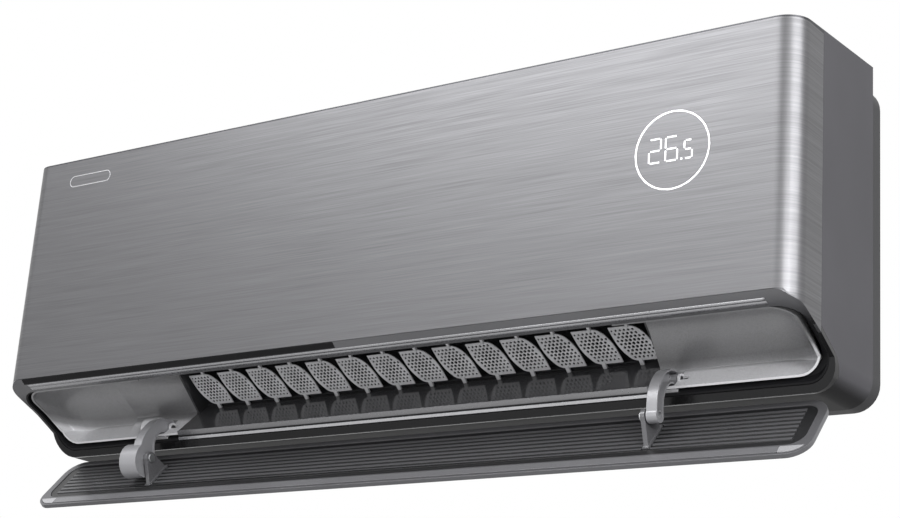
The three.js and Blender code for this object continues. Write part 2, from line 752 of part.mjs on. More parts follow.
function outletDuct() {
  const end = ductHalfLength + ductWall;
  const floor = sweepAlongX(outlineOf(lowerSheet), -end, end);
  const ceiling = sweepAlongX(outlineOf([
    ceilingLip,
    ceilingEnd,
    shifted(ceilingEnd, ceilingUp, ductWall),
    shifted(ceilingLip, ceilingUp, ductWall),
  ]), -end, end);
  const sideFront = shifted(ceilingPoint, ceilingRun, -sideWallReach);
  const sidePlate = [
    sideFront,
    shifted(vaneSeat, lowerRun, -sideWallReach),
    vaneSeat,
    ...scrollArc(lowerAngle, Math.PI / 2, 4, 0.5),
    [ceilingPoint[0] + 22, scrollCentre[1]],
    shifted(ceilingEnd, ceilingUp, 1),
    shifted(sideFront, ceilingUp, 1),
  ];
  const sides = [-1, 1].map((side) => {
    const from = side > 0 ? ductHalfLength : -end;
    return sweepAlongX(outlineOf(sidePlate), from, from + ductWall);
  });
  const duct = join(floor, ceiling, ...sides);
  const holes = [];
  for (let i = 0; i < vaneCount; i += 1) {
    holes.push(pegHole(vaneX(i), -ductWall - 3, 1));
    holes.push(pegHole(vaneX(i), vaneTopGap - 1, vaneTopGap + ductWall + 4));
  }
  const fanRoom = rodAlongX(fanRadius + 3, -end - 1, end + 1, ...fanCentre, 24);
  return cut(duct, ...holes, rimSolid(fitGap), fanRoom);
}

addPiece("outlet_duct", outletDuct(), darkGloss);

// ---------------------------------------------------------------- end trays

const trayEdge = lipAt(trayEdgeDrop);
const trayFront = [ceilingLip[0] + 2, ceilingLip[1] + 1];
const trayBowl = { crease: trayCrease, top: trayTop, crown: trayCrown };

// The left tray opens from the duct as a ramp, then steps back to its bowl.
const ramp = [
  { x: ductHalfLength + ductWall, crease: [-68.3, 46.9], top: [-95, 86], crown: trayCrown },
  { x: ductHalfLength + 10, crease: [-68.9, 46.6], top: [-100.7, 83.7], crown: trayCrown },
  { x: rampMiddle, crease: [-74.5, 45.2], top: [-106.8, 82], crown: trayCrown },
  { x: rampEnd, crease: [-79.8, 43.9], top: [-128, 76], crown: [-146, 82] },
];

function towards(from, to, distance) {
  const length = Math.hypot(to[0] - from[0], to[1] - from[1]);
  return shifted(from, [(to[0] - from[0]) / length, (to[1] - from[1]) / length], distance);
}

// A tray's section in (y, z), from the lip's edge round to the ceiling's lip, its corners rounded.
function traySection({ crease, top, crown }, grow) {
  const corners = inset([
    trayEdge,
    crease,
    top,
    crown,
    trayFront,
    shifted(trayFront, mouthOutward, 30),
    shifted(trayEdge, mouthOutward, 30),
  ], -grow);
  const path = new THREE.Path();
  path.moveTo(...corners[0]);
  [5, 12, 14].forEach((size, i) => {
    const corner = corners[i + 1];
    path.lineTo(...towards(corner, corners[i], size));
    path.quadraticCurveTo(...corner, ...towards(corner, corners[i + 2], size));
  });
  path.lineTo(...corners[4]);
  return path.getPoints(2).map((point) => [point.x, point.y]);
}

function depthInMouth(point) {
  return (point[0] - mouthRear[0]) * mouthInward[0] + (point[1] - mouthRear[1]) * mouthInward[1];
}

// Room for a tray: both corners rounded to suit the rim, each along its own wall of the tray.
function trayRoom(margin) {
  const half = halfWidth - mouthEndMargin - margin;
  const far = 300;
  const radius = mouthCornerRadius - margin;
  const reach = reachAt(trayEdgeDrop) - margin;
  const rear = roundedRectangle(-half, half, -far, reach, radius);
  const front = roundedRectangle(-half, half, -(mouthLength - margin), far, radius);
  return common(mouthSweep(rear, lowerRun, -60, 140), mouthSweep(front, mouthInward, -60, 140));
}

// A tray's hollow as a loft: its section keeps its mouth and grows shallower towards the end.
function trayHollow(opening, grow, start) {
  const outer = halfWidth - mouthEndMargin - 3 + grow;
  const stations = opening.map((section, i) => ({
    x: (i === 0 ? start : section.x) - (i > 0 && i + 1 === opening.length ? grow : 0),
    share: 1,
    section,
  }));
  if (opening.length > 1) {
    stations.push({ x: rampEnd - grow + 0.6, share: 1, section: trayBowl });
  }
  const steps = 4;
  for (let i = 0; i <= steps; i += 1) {
    const u = Math.sin((i / steps) * 82 * degrees);
    stations.push({ x: outer - trayEndRun + trayEndRun * u, share: Math.sqrt(1 - u * u), section: trayBowl });
  }
  return loft(stations.map(({ x, share, section }) => {
    const ring = traySection(section, grow).map((point) => {
      const depth = depthInMouth(point);
      const flat = shifted(point, mouthInward, -depth);
      return shifted(flat, mouthInward, depth * share + grow * (1 - share));
    });
    const below = shifted(ring[0], mouthOutward, 30);
    const above = shifted(ring[ring.length - 1], mouthOutward, 30);
    return [below, ...ring, above].map(([y, z]) => new THREE.Vector3(x, y, z));
  }));
}

// Joins closed rings of equal length into one solid with flat ends.
function loft(rings) {
  const size = rings[0].length;
  const positions = rings.flatMap((ring) => ring.flatMap((point) => point.toArray()));
  const index = [];
  for (let r = 0; r + 1 < rings.length; r += 1) {
    for (let i = 0; i < size; i += 1) {
      const a = r * size + i;
      const b = r * size + ((i + 1) % size);
      index.push(a, b, b + size, a, b + size, a + size);
    }
  }
  const flat = rings[0].map((point) => new THREE.Vector2(point.y, point.z));
  const faces = THREE.ShapeUtils.triangulateShape(flat, []);
  const lastStart = (rings.length - 1) * size;
  const turn = THREE.ShapeUtils.isClockWise(flat) ? 1 : -1;
  faces.forEach(([a, b, c]) => {
    if (turn > 0) {
      index.push(a, b, c, lastStart + a, lastStart + c, lastStart + b);
    } else {
      index.push(a, c, b, lastStart + a, lastStart + b, lastStart + c);
    }
  });
  const geometry = new THREE.BufferGeometry();
  geometry.setAttribute("position", new THREE.Float32BufferAttribute(positions, 3));
  geometry.setIndex(index);
  return toSolid(geometry);
}

function mirroredInX(solid) {
  const geometry = toGeometry(solid);
  geometry.applyMatrix4(new THREE.Matrix4().makeScale(-1, 1, 1));
  const order = geometry.index.array;
  for (let i = 0; i < order.length; i += 3) {
    const kept = order[i];
    order[i] = order[i + 1];
    order[i + 1] = kept;
  }
  return toSolid(geometry);
}

const trayStart = ductHalfLength + ductWall + fitGap;
const hubRoomRadius = 14.4;
const pivotBoss = 5.5;
const trayInset = 0.6;           // the trays' edges, behind the casing's surface
const floorLength = Math.hypot(trayCrease[0] - trayEdge[0], trayCrease[1] - trayEdge[1]);
const floorRun = [(trayCrease[0] - trayEdge[0]) / floorLength, (trayCrease[1] - trayEdge[1]) / floorLength];
const floorBelow = [floorRun[1], -floorRun[0]];

function endTray(opening, near, far) {
  const shell = cut(
    common(trayHollow(opening, trayWall, trayStart), trayRoom(fitGap)),
    common(trayHollow(opening, 0, trayStart - 5), trayRoom(fitGap + trayWall)),
  );
  const under = sweepAlongX(outlineOf([
    trayEdge,
    shifted(trayEdge, floorBelow, 30),
    shifted(shifted(trayEdge, floorRun, 60), floorBelow, 30),
    shifted(trayEdge, floorRun, 60),
  ]), trayStart, halfWidth);
  const cup = common(
    rodAlongX(hubRoomRadius + trayWall, near - trayWall, far + trayWall, ...armPivot, 16),
    under,
  );
  const ears = rodAlongX(pivotBoss, near - trayWall, far + trayWall, ...armPivot, 12);
  const room = rodAlongX(hubRoomRadius, near, far, ...armPivot, 16);
  const bore = rodAlongX(pinRadius + fitGap, near - 10, far + 10, ...armPivot, 10);
  return cut(common(join(shell, cup, ears), envelope(trayInset)), room, bore, rimSolid(fitGap));
}

// Where an arm stands between its bracket and the ears of its tray.
function armPlace(bracket) {
  const near = bracket + bracketThickness + armSideGap;
  const far = near + armThickness;
  return { bracket, near, far, roomNear: near - 1.3, roomFar: far + 1.3 };
}

const rightArm = armPlace(rightBracketX);
const leftArm = armPlace(leftBracketX);
const armMotorRadius = 11;
const armMotorLength = 17;
const armMotorStart = leftArm.roomFar + trayWall + fitGap + 0.6;

// The driven end also has a cover over the arm's motor, moulded into the tray.
function drivenTray() {
  const end = armMotorStart + armMotorLength;
  const coverRadius = armMotorRadius + fitGap + trayWall;
  const cover = common(
    rodAlongX(coverRadius, armMotorStart - fitGap, end + 2, ...armPivot, 20),
    envelope(trayInset),
  );
  const room = rodAlongX(armMotorRadius + fitGap, armMotorStart - fitGap, end + fitGap, ...armPivot, 20);
  const below = block(armMotorStart - 2, end + 3, armPivot[0] - 30, armPivot[0] + 30, 0, armPivot[1] - 6);
  return cut(
    join(endTray(ramp, leftArm.roomNear, leftArm.roomFar), cut(cover, below)),
    room,
    rimSolid(fitGap),
  );
}

addPiece("right_end_tray", endTray([trayBowl], rightArm.roomNear, rightArm.roomFar), satinGrey);
addPiece("left_end_tray", mirroredInX(drivenTray()), satinGrey);

// Black channel between the rim's edge and the trays, open to the front.
function outletChannel() {
  const layer = (margin, top, foot) => cut(
    common(mouthRoom(rimEdge, rimEdgeDrop, margin, -40, 60), envelope(top)),
    profileColumn(foot),
  );
  const trough = cut(
    layer(fitGap, 0.8, channelDepth + channelWall),
    layer(fitGap + channelWall, -1, channelDepth),
    mouthRoom(mouthEndMargin, trayEdgeDrop, -fitGap, -40, 60),
  );
  const grow = trayWall + fitGap;
  const cupRadius = hubRoomRadius + trayWall + fitGap;
  const cups = [rightArm, leftArm].map(({ roomNear, roomFar }, i) => {
    const cup = rodAlongX(cupRadius, roomNear - grow, roomFar + grow, ...armPivot, 16);
    return i === 0 ? cup : mirroredInX(cup);
  });
  const motorEnd = armMotorStart + armMotorLength;
  const cover = mirroredInX(
    rodAlongX(armMotorRadius + fitGap + grow, armMotorStart - grow, motorEnd + grow + fitGap, ...armPivot, 20),
  );
  const middle = mouthSweep(
    roundedRectangle(-trayStart, trayStart, -mouthLength, reachAt(trayEdgeDrop) + 3, 1),
    mouthInward,
    -40,
    60,
  );
  const bar = sweepAlongX(outlineOf([
    shifted(lipAt(0), lipInward, -2),
    shifted(lipAt(lipLength), lipInward, -2),
    shifted(lipAt(lipLength), lipInward, panelThickness + fitGap),
    shifted(lipAt(0), lipInward, panelThickness + fitGap),
  ]), -trayStart, trayStart);
  return cut(
    trough,
    common(trayHollow([trayBowl], grow, trayStart - 1), trayRoom(0)),
    common(mirroredInX(trayHollow(ramp, grow, trayStart - 1)), trayRoom(0)),
    ...cups,
    cover,
    middle,
    bar,
  );
}

addPiece("outlet_channel", outletChannel(), blackPlastic);

// ---------------------------------------------------------------- air vanes

function leafOutline() {
  const low = vaneFootGap;
  const high = vaneFootGap + vaneHeight;
  const half = vaneWidth / 2;
  const slant = 2;
  const shape = new THREE.Shape();
  shape.moveTo(-half - slant + 1, high);
  shape.bezierCurveTo(-half - slant + 2, high - 12, -half + 1, low + 16, -half + 9, low + 6);
  shape.quadraticCurveTo(-half + 13, low, -1, low);
  shape.lineTo(half + slant, low);
  shape.bezierCurveTo(half + slant - 1, low + 12, half, high - 16, half - 8, high - 6);
  shape.quadraticCurveTo(half - 13, high, 1, high);
  return shape;
}

function upright(radius, low, high, x = 0, y = 0, sides = 5) {
  const geometry = new THREE.CylinderGeometry(radius, radius, high - low, sides);
  geometry.rotateX(Math.PI / 2);
  geometry.translate(x, y, (low + high) / 2);
  return toSolid(geometry);
}

const crankX = crankRadius * Math.cos(crankAngle * degrees);
const crankY = crankRadius * Math.sin(crankAngle * degrees);
const linkLow = 1.1;
const linkHigh = linkLow + linkThickness;
const crankLow = linkHigh + fitGap;
const crankPinRadius = 1.1;

function vaneSolid() {
  const leaf = extruded(leafOutline(), vaneThickness, 2);
  leaf.rotateX(Math.PI / 2);
  leaf.translate(0, vaneThickness / 2, 0);
  const foot = upright(vanePegRadius, -1.6, vaneFootGap + 1);
  const head = upright(vanePegRadius, vaneFootGap + vaneHeight - 1, vaneTopGap + 1.6);
  const ear = new THREE.BoxGeometry(crankRadius + 2.4, 2.4, vaneFootGap - crankLow);
  ear.translate(crankRadius / 2, 0, (vaneFootGap + crankLow) / 2);
  ear.rotateZ(crankAngle * degrees);
  const pin = upright(crankPinRadius, linkLow, vaneFootGap - 0.2, crankX, crankY);
  return join(toSolid(leaf), foot, head, toSolid(ear), pin);
}

function linkSolid() {
  const end = 7;
  const left = vaneX(0) + crankX - end;
  const right = vaneX(vaneCount - 1) + crankX + end;
  const shape = new THREE.Shape();
  shape.moveTo(left, crankY - linkWidth / 2);
  shape.lineTo(right, crankY - linkWidth / 2);
  shape.lineTo(right, crankY + linkWidth / 2);
  shape.lineTo(left, crankY + linkWidth / 2);
  for (let i = 0; i < vaneCount; i += 1) {
    const hole = new THREE.Path();
    hole.absarc(vaneX(i) + crankX, crankY, crankPinRadius + fitGap, 0, Math.PI * 2, true);
    shape.holes.push(hole);
  }
  return sweepAlongZ(shape, linkLow, linkHigh, 3);
}

for (let i = 0; i < vaneCount; i += 1) {
  const frame = vaneFrame(vaneX(i));
  unit.add(frame);
  const label = String(i + 1).padStart(2, "0");
  addPiece(`vane_${label}`, vaneSolid(), satinGrey, frame);
}

const linkFrame = vaneFrame(0);
unit.add(linkFrame);
addPiece("vane_link", linkSolid(), blackPlastic, linkFrame);

// ---------------------------------------------------------------- cross-flow fan

const bearingReach = 13;           // fan shaft, beyond the left end plate

function fanSolid() {
  const reach = fanHalfLength;
  const inner = fanRadius * 0.78;
  const middle = (inner + fanRadius) / 2;
  const sweep = 13 * degrees;
  const blades = [];
  for (let i = 0; i < bladeCount; i += 1) {
    const turn = (i / bladeCount) * Math.PI * 2;
    const at = (radius, angle) => [
      fanCentre[0] + radius * Math.cos(turn + angle),
      fanCentre[1] + radius * Math.sin(turn + angle),
    ];
    const blade = [
      at(inner, 0),
      at(middle, sweep * 0.2),
      at(fanRadius - 0.2, sweep),
      at(middle, sweep * 0.2 + 2.8 * degrees),
    ];
    blades.push(sweepAlongX(outlineOf(blade), -reach, reach));
  }
  const discs = [];
  for (let i = 0; i < fanDiscs; i += 1) {
    const place = -reach + 2 + ((2 * reach - 4) * i) / (fanDiscs - 1);
    const disc = rodAlongX(fanRadius + 0.6, place - 1.5, place + 1.5, ...fanCentre, bladeCount);
    const isEnd = i === 0 || i === fanDiscs - 1;
    discs.push(isEnd ? disc : cut(disc, rodAlongX(inner - 4, place - 3, place + 3, ...fanCentre, bladeCount)));
  }
  const leftShaft = rodAlongX(fanShaftRadius, -endPlateX - bearingReach, -reach + 2, ...fanCentre, 10);
  const rightShaft = rodAlongX(fanShaftRadius, reach - 2, fanMotorX - fitGap, ...fanCentre, 10);
  return join(...discs, ...blades, leftShaft, rightShaft);
}

addPiece("crossflow_fan", fanSolid(), darkPlastic);

// ---------------------------------------------------------------- louver and its arms

const louverFrame = new THREE.Group();
louverFrame.position.set(0, louverOpenRear[0], louverOpenRear[1]);
louverFrame.rotation.x = louverOpenTilt * degrees;
unit.add(louverFrame);

// Outlines here are drawn on the louver (x, distance forward from its rear edge) and stand on its face.
function onLouver(shape, low, high, curveSegments = 4) {
  const geometry = extruded(shape, high - low, curveSegments);
  geometry.rotateX(Math.PI);
  geometry.translate(0, 0, high);
  return toSolid(geometry);
}

const insertRear = 7;
const insertFront = louverWidth - 15;
const insertDepth = 2.2;
const ribPitch = 6.4;
const stripFront = louverWidth - 3;
const stripRear = insertFront + 2.4;
const stripEnd = louverHalf - 30;
const louverEdge = 3;

// The band along the louver's front edge, kept inside its rounded corners.
function frontBand(margin, x0, x1, low, high) {
  const half = louverHalf - louverEdge - margin;
  const band = roundedRectangle(x0, x1, stripRear + margin, stripFront - margin, 1);
  const inside = roundedRectangle(-half, half, louverEdge + margin, louverWidth - louverEdge - margin, 19);
  return common(onLouver(band, low, high, 1), onLouver(inside, low, high));
}

function louverPanel() {
  const body = onLouver(roundedRectangle(-louverHalf, louverHalf, 0, louverWidth, 22), -louverThickness, 0);
  const pocket = onLouver(
    roundedRectangle(-louverHalf + louverBorder, louverHalf - louverBorder, insertRear, insertFront, 16),
    -insertDepth,
    1,
  );
  return cut(body, pocket, frontBand(0, -louverHalf, louverHalf, -1.2, 1));
}

function louverInsert() {
  const gap = fitGap;
  const half = louverHalf - louverBorder - gap;
  const base = onLouver(
    roundedRectangle(-half, half, insertRear + gap, insertFront - gap, 16 - gap),
    -insertDepth + gap,
    -0.9,
  );
  const ribs = [];
  const count = Math.floor((insertFront - insertRear - 8) / ribPitch);
  for (let i = 0; i < count; i += 1) {
    const middle = insertRear + 6 + i * ribPitch;
    ribs.push(block(-half + 12, half - 12, -middle - ribPitch * 0.55, -middle, -1.1, -0.1));
  }
  const feet = [rightBracketX + bracketThickness / 2, -leftBracketX - bracketThickness / 2].map((x) => (
    block(x - footSpan - 1, x + footSpan + 1, -footFront - 1, -footRear + 1, -3, 3)
  ));
  return cut(join(base, ...ribs), ...feet);
}

const footRear = 22;
const footFront = 60;
const footSpan = 3.5;

function louverBracket(x0) {
  const gap = fitGap;
  const x1 = x0 + bracketThickness;
  const shape = new THREE.Shape();
  const tip = 7.5;
  shape.moveTo(-(louverPinRun - tip), louverPinRise);
  shape.lineTo(-(footRear + 2), 0);
  shape.lineTo(-(footFront - 2), 0);
  shape.lineTo(-(louverPinRun + tip), louverPinRise);
  shape.absarc(-louverPinRun, louverPinRise, tip, Math.PI, 0, true);
  const plate = sweepAlongX(shape, x0, x1, 6);
  const middle = (x0 + x1) / 2;
  const foot = block(middle - footSpan, middle + footSpan, -footFront, -footRear, -insertDepth + gap, 1.2);
  const bore = rodAlongX(pinRadius + gap, x0 - 1, x1 + 1, -louverPinRun, louverPinRise, 12);
  return cut(join(plate, foot), bore);
}

function louverPin(from, to) {
  const head = rodAlongX(pinRadius + 2, from - 2, from, -louverPinRun, louverPinRise, 12);
  return join(rodAlongX(pinRadius, from, to, -louverPinRun, louverPinRise, 12), head);
}

addPiece("louver_panel", louverPanel(), brushedGrey, louverFrame);
addPiece("louver_insert", louverInsert(), darkPlastic, louverFrame);
addPiece("louver_bracket_right", louverBracket(rightBracketX), satinGrey, louverFrame);
addPiece("louver_bracket_left", mirroredInX(louverBracket(leftBracketX)), satinGrey, louverFrame);

const pinReach = 14;             // louver's pins, beyond the brackets' inner faces
const rightPin = louverPin(rightBracketX - fitGap, rightBracketX + pinReach);
const leftPin = mirroredInX(louverPin(leftBracketX - fitGap, leftBracketX + pinReach));
addPiece("louver_pin_right", rightPin, zincSteel, louverFrame);
addPiece("louver_pin_left", leftPin, zincSteel, louverFrame);

const stripLow = -1.2 + fitGap;
const stripHigh = 0.4;
const capNear = stripEnd + fitGap;
const louverStrip = frontBand(fitGap, -stripEnd, stripEnd, stripLow, stripHigh);
addPiece("louver_front_strip", louverStrip, satinGrey, louverFrame);
const louverCap = frontBand(fitGap, capNear, louverHalf, stripLow, stripHigh);
addPiece("louver_cap_right", louverCap, satinGrey, louverFrame);
addPiece("louver_cap_left", mirroredInX(louverCap), satinGrey, louverFrame);

const armBend = [[-15.5, -0.5], [-26.5, -9.5], [-33.2, -23.5]];   // arm's middle line, from its pivot
const armRim = 1.6;
const armFace = 3.4;             // web left behind the slim arm's pocket
const slimArmWidths = [15, 12.5, 13];
const driveArmWidths = [16.5, 14, 26];

// Outline of a curved arm in (y, z): a band of varying width along a smooth line.
function armOutline([widthStart, widthMiddle, widthEnd], margin, steps = 9) {
  const [ay, az] = armPivot;
  const line = new THREE.CatmullRomCurve3([
    new THREE.Vector3(0, ay, az),
    ...armBend.map(([y, z]) => new THREE.Vector3(0, ay + y, az + z)),
    new THREE.Vector3(0, ...pinOpen),
  ]);
  const left = [];
  const right = [];
  for (let i = 0; i <= steps; i += 1) {
    const t = i / steps;
    const point = line.getPoint(t);
    const tangent = line.getTangent(t);
    const width = t < 0.5
      ? widthStart + (widthMiddle - widthStart) * t * 2
      : widthMiddle + (widthEnd - widthMiddle) * (t * 2 - 1);
    const half = width / 2 - margin;
    left.push([point.y - tangent.z * half, point.z + tangent.y * half]);
    right.push([point.y + tangent.z * half, point.z - tangent.y * half]);
  }
  return outlineOf([...left, ...right.reverse()]);
}

function slimArm() {
  const { near, far } = rightArm;
  const eyeRadius = 7.5;
  const bossRadius = pinRadius + fitGap + armRim;
  const hub = rodAlongX(armHubRadius, near, far, ...armPivot, 16);
  const band = sweepAlongX(armOutline(slimArmWidths, 0), near, far);
  const eye = rodAlongX(eyeRadius, near, far, ...pinOpen, 16);
  const hollow = cut(
    sweepAlongX(armOutline(slimArmWidths, armRim), near + armFace, far + 1),
    rodAlongX(bossRadius, near, far + 2, ...armPivot, 10),
    rodAlongX(bossRadius, near, far + 2, ...pinOpen, 10),
  );
  const hubBore = rodAlongX(pinRadius + fitGap, near - 1, far + 1, ...armPivot, 12);
  const eyeBore = rodAlongX(pinRadius + 0.5, near - 1, far + 1, ...pinOpen, 12);
  return cut(join(hub, band, eye), hollow, hubBore, eyeBore);
}

// Oval in (y, z) that closes the drive arm's end.
function drumOutline(margin) {
  const shape = new THREE.Shape();
  shape.absellipse(
    pinOpen[0] - drumShift[0],
    pinOpen[1] - drumShift[1],
    drumRadiusAcross - margin,
    drumRadiusAlong - margin,
    0,
    Math.PI * 2,
  );
  return shape;
}

const drumShift = [1.5, 2.5];
const pinBoreReach = 8.5;
const tiltMotorRadius = drumRadiusAcross - 3.4;

function driveArm() {
  const { near, far } = leftArm;
  const bossRadius = pinRadius + fitGap + armRim * 2;
  const hub = rodAlongX(armHubRadius, near, far, ...armPivot, 16);
  const band = sweepAlongX(armOutline(driveArmWidths, 0), near, far);
  const drumFar = near + drumLength;
  const drum = sweepAlongX(drumOutline(0), near, drumFar, 10);
  const recess = cut(
    join(
      sweepAlongX(armOutline(driveArmWidths, armRim), near - 1, near + 1),
      sweepAlongX(drumOutline(armRim), near - 1, near + 1, 10),
    ),
    rodAlongX(bossRadius, near - 2, near + 2, ...armPivot, 10),
    rodAlongX(bossRadius, near - 2, near + 2, ...pinOpen, 10),
  );
  const hubBore = rodAlongX(pinRadius + fitGap, near - 1, far + 1, ...armPivot, 12);
  const pinBore = rodAlongX(pinRadius + 0.4, near - 1, near + pinBoreReach, ...pinOpen, 12);
  const motorRoom = rodAlongX(tiltMotorRadius + fitGap, near + pinBoreReach + 0.5, drumFar + 1, ...pinOpen, 16);
  return mirroredInX(cut(join(hub, band, drum), recess, hubBore, pinBore, motorRoom));
}

addPiece("louver_arm_right", slimArm(), satinGrey);
addPiece("louver_arm_left", driveArm(), satinGrey);

function tiltMotor() {
  const { near } = leftArm;
  const can = rodAlongX(tiltMotorRadius, near + pinBoreReach + 0.8, near + drumLength - 1.5, ...pinOpen, 16);
  return mirroredInX(can);
}

addPiece("louver_tilt_motor", tiltMotor(), zincSteel);

addPiece(
  "arm_pin_right",
  rodAlongX(pinRadius, rightArm.roomNear - trayWall, rightArm.roomFar + trayWall, ...armPivot, 12),
  zincSteel,
);

function armMotor() {
  const start = armMotorStart;
  const can = rodAlongX(armMotorRadius, start, start + armMotorLength, ...armPivot, 18);
  const shaft = rodAlongX(pinRadius, leftArm.roomNear - trayWall - 1, start + 1, ...armPivot, 12);
  return mirroredInX(join(can, shaft));
}

addPiece("arm_motor_left", armMotor(), zincSteel);

function vaneMotor() {
  const radius = 11;
  const can = new THREE.CylinderGeometry(radius, radius, 13, 18);
  can.rotateX(Math.PI / 2);
  can.translate(0, 0, -ductWall - 2 - 6.5);
  return placedInVaneFrame(can, vaneX(0));
}

addPiece("vane_motor", vaneMotor(), zincSteel);

// ---------------------------------------------------------------- wall plate and rear chassis

function mountingPlate() {
  const sheet = block(-plateHalfLength, plateHalfLength, -plateThickness, 0, plateLow, plateHigh);
  const legDepth = chassisWallDepth + 2.5;
  const legTop = hookHeight + hookLegThickness;
  const hooks = [-hookX, hookX].map((x) => {
    const near = x - hookWidth / 2;
    const far = x + hookWidth / 2;
    const leg = block(near, far, -legDepth, -plateThickness / 2, hookHeight, legTop);
    const tipRear = -legDepth + hookTipThickness;
    const tip = block(near, far, -legDepth, tipRear, hookHeight, hookHeight + hookTipHeight);
    return join(leg, tip);
  });
  const screwZ = (plateLow + plateHigh) / 2 + plateScrewRise;
  const screws = plateScrewX.map((x) => rodAlongY(plateScrewRadius, -3, 1, x, screwZ, 8));
  return cut(join(sheet, ...hooks), ...screws);
}

addPiece("mounting_plate", mountingPlate(), zincSteel);

function chassisOutline(margin) {
  const half = halfWidth - chassisInset - margin;
  return roundedRectangle(
    -half,
    half,
    chassisInset + margin,
    chassisTop - margin,
    bottomRadius - chassisInset - margin,
  );
}

// The upper part of the fan's scroll, which carries on from the duct's lower wall.
const scrollTop = [-46, fanHeight + 55];

function scrollSheet(thickness) {
  const foot = [scrollCentre[0] + scrollRadius, scrollCentre[1] + fitGap];
  return [
    foot,
    [foot[0] + thickness, foot[1]],
    [-fanDepth + fanRadius + 5 + thickness, fanHeight],
    [-fanDepth + fanRadius + 2.5 + thickness, fanHeight + 30],
    [scrollTop[0] + thickness, scrollTop[1] + 1],
    scrollTop,
    [-fanDepth + fanRadius + 2.5, fanHeight + 30],
    [-fanDepth + fanRadius + 5, fanHeight],
  ];
}

const ribOuter = ductHalfLength - 2;   // ribs behind the scroll
const ribX = [-ribOuter, -ribOuter / 3, ribOuter / 3, ribOuter];
const carrierX = [boxNear + 48, boxFar - 15];   // ribs that carry the control box
const padX = 360;                      // pads that rest on the mounting plate
const ribThickness = 2.4;

function rearChassis() {
  const ring = cut(
    sweepAlongY(chassisOutline(0), -chassisDepth, -0.5, 4),
    sweepAlongY(chassisOutline(chassisWall), -chassisDepth - 1, 1, 4),
  );
  const wall = sweepAlongY(chassisOutline(1), -chassisWallDepth, -chassisWallDepth + chassisWall, 4);
  const slots = [-hookX, hookX].map((x) => block(
    x - hookWidth / 2 - 2,
    x + hookWidth / 2 + 2,
    -chassisWallDepth - 1,
    -chassisWallDepth + chassisWall + 1,
    hookHeight - hookTipHeight,
    hookHeight + hookLegThickness + fitGap,
  ));
  const end = endPlateX + endPlateThickness;
  const scroll = sweepAlongX(outlineOf(scrollSheet(ductWall)), -end, end);
  const ribOutline = outlineOf([
    [-chassisWallDepth + 1, scrollCentre[1] + 2],
    [-chassisWallDepth + 1, scrollTop[1] + 8],
    [scrollTop[0] + 1, scrollTop[1]],
    [-fanDepth + fanRadius + 3.5, fanHeight + 30],
    [-fanDepth + fanRadius + 6, fanHeight],
    [scrollCentre[0] + scrollRadius + 1, scrollCentre[1] + 2],
  ].reverse());
  const ribs = ribX.map((x) => sweepAlongX(ribOutline, x - ribThickness / 2, x + ribThickness / 2));
  const plateFoot = scrollCentre[1] - 7;
  const plateStep = -coilRearFace + 30;
  const plateFront = -coilRearFace + 6;
  const plateOutline = outlineOf([
    [-chassisWallDepth + 1, plateFoot],
    [plateStep, plateFoot],
    [plateStep, coilFoot + 10],
    [plateFront, coilFoot + 10],
    [plateFront, coilKnee - 26],
    [plateStep - 2, scrollTop[1]],
    [scrollTop[0], scrollTop[1] + 1],
    [-chassisWallDepth + 1, scrollTop[1] + 8],
  ].reverse());
  const plates = [-1, 1].map((side) => {
    const near = side > 0 ? endPlateX : -end;
    return sweepAlongX(plateOutline, near, near + endPlateThickness);
  });
  const carriers = carrierX.map((x) => block(
    x,
    x + ribThickness,
    -boxRear + fitGap,
    -chassisWallDepth + 1,
    boxLow + 15,
    boxHigh - 15,
  ));
  const pads = [-1, 1].flatMap((side) => [plateLow + 10, plateHigh - 20].map((z) => block(
    side * padX - 12,
    side * padX + 12,
    -chassisWallDepth + chassisWall - 1,
    -plateThickness - fitGap,
    z,
    z + 10,
  )));
  const shaftHoles = rodAlongX(fanShaftRadius + 2, -end - 1, end + 1, ...fanCentre, 12);
  const fanRoom = rodAlongX(fanRadius + 1.6, -endPlateX + 1, endPlateX - 1, ...fanCentre, 24);
  const solid = join(ring, wall, scroll, ...ribs, ...plates, ...carriers, ...pads);
  return cut(solid, ...slots, shaftHoles, fanRoom);
}

addPiece("rear_chassis", rearChassis(), blackPlastic);

// ---------------------------------------------------------------- fan drive

function ringAlongX(outer, inner, x0, x1, sides) {
  const hole = rodAlongX(inner, x0 - 1, x1 + 1, ...fanCentre, sides);
  return cut(rodAlongX(outer, x0, x1, ...fanCentre, sides), hole);
}

function fanMotor() {
  const can = rodAlongX(fanMotorRadius, fanMotorX + 6, fanMotorX + fanMotorLength, ...fanCentre, 18);
  const boss = rodAlongX(14, fanMotorX, fanMotorX + 7, ...fanCentre, 16);
  return join(can, boss);
}

function fanMotorClamp() {
  const near = fanMotorX + 18;
  const far = near + 20;
  const band = ringAlongX(fanMotorRadius + 3, fanMotorRadius + fitGap, near, far, 18);
  const rear = -fanDepth + fanMotorRadius;
  const foot = block(near, far, rear + 1, -chassisWallDepth - fitGap, fanHeight - 10, fanHeight + 10);
  return join(band, foot);
}

function fanBearing() {
  const near = -endPlateX - endPlateThickness - fitGap;
  return ringAlongX(13, fanShaftRadius + fitGap, near - 12, near, 14);
}

addPiece("fan_motor", fanMotor(), zincSteel);
addPiece("fan_motor_clamp", fanMotorClamp(), blackPlastic);
addPiece("fan_bearing", fanBearing(), blackPlastic);

// ---------------------------------------------------------------- evaporator

const coilFrontRear = [-coilRearFace, coilKnee];
const coilApex = [-coilApexDepth, coilApexHeight];
const coilRear = [-coilRearDepth, coilRearFoot];

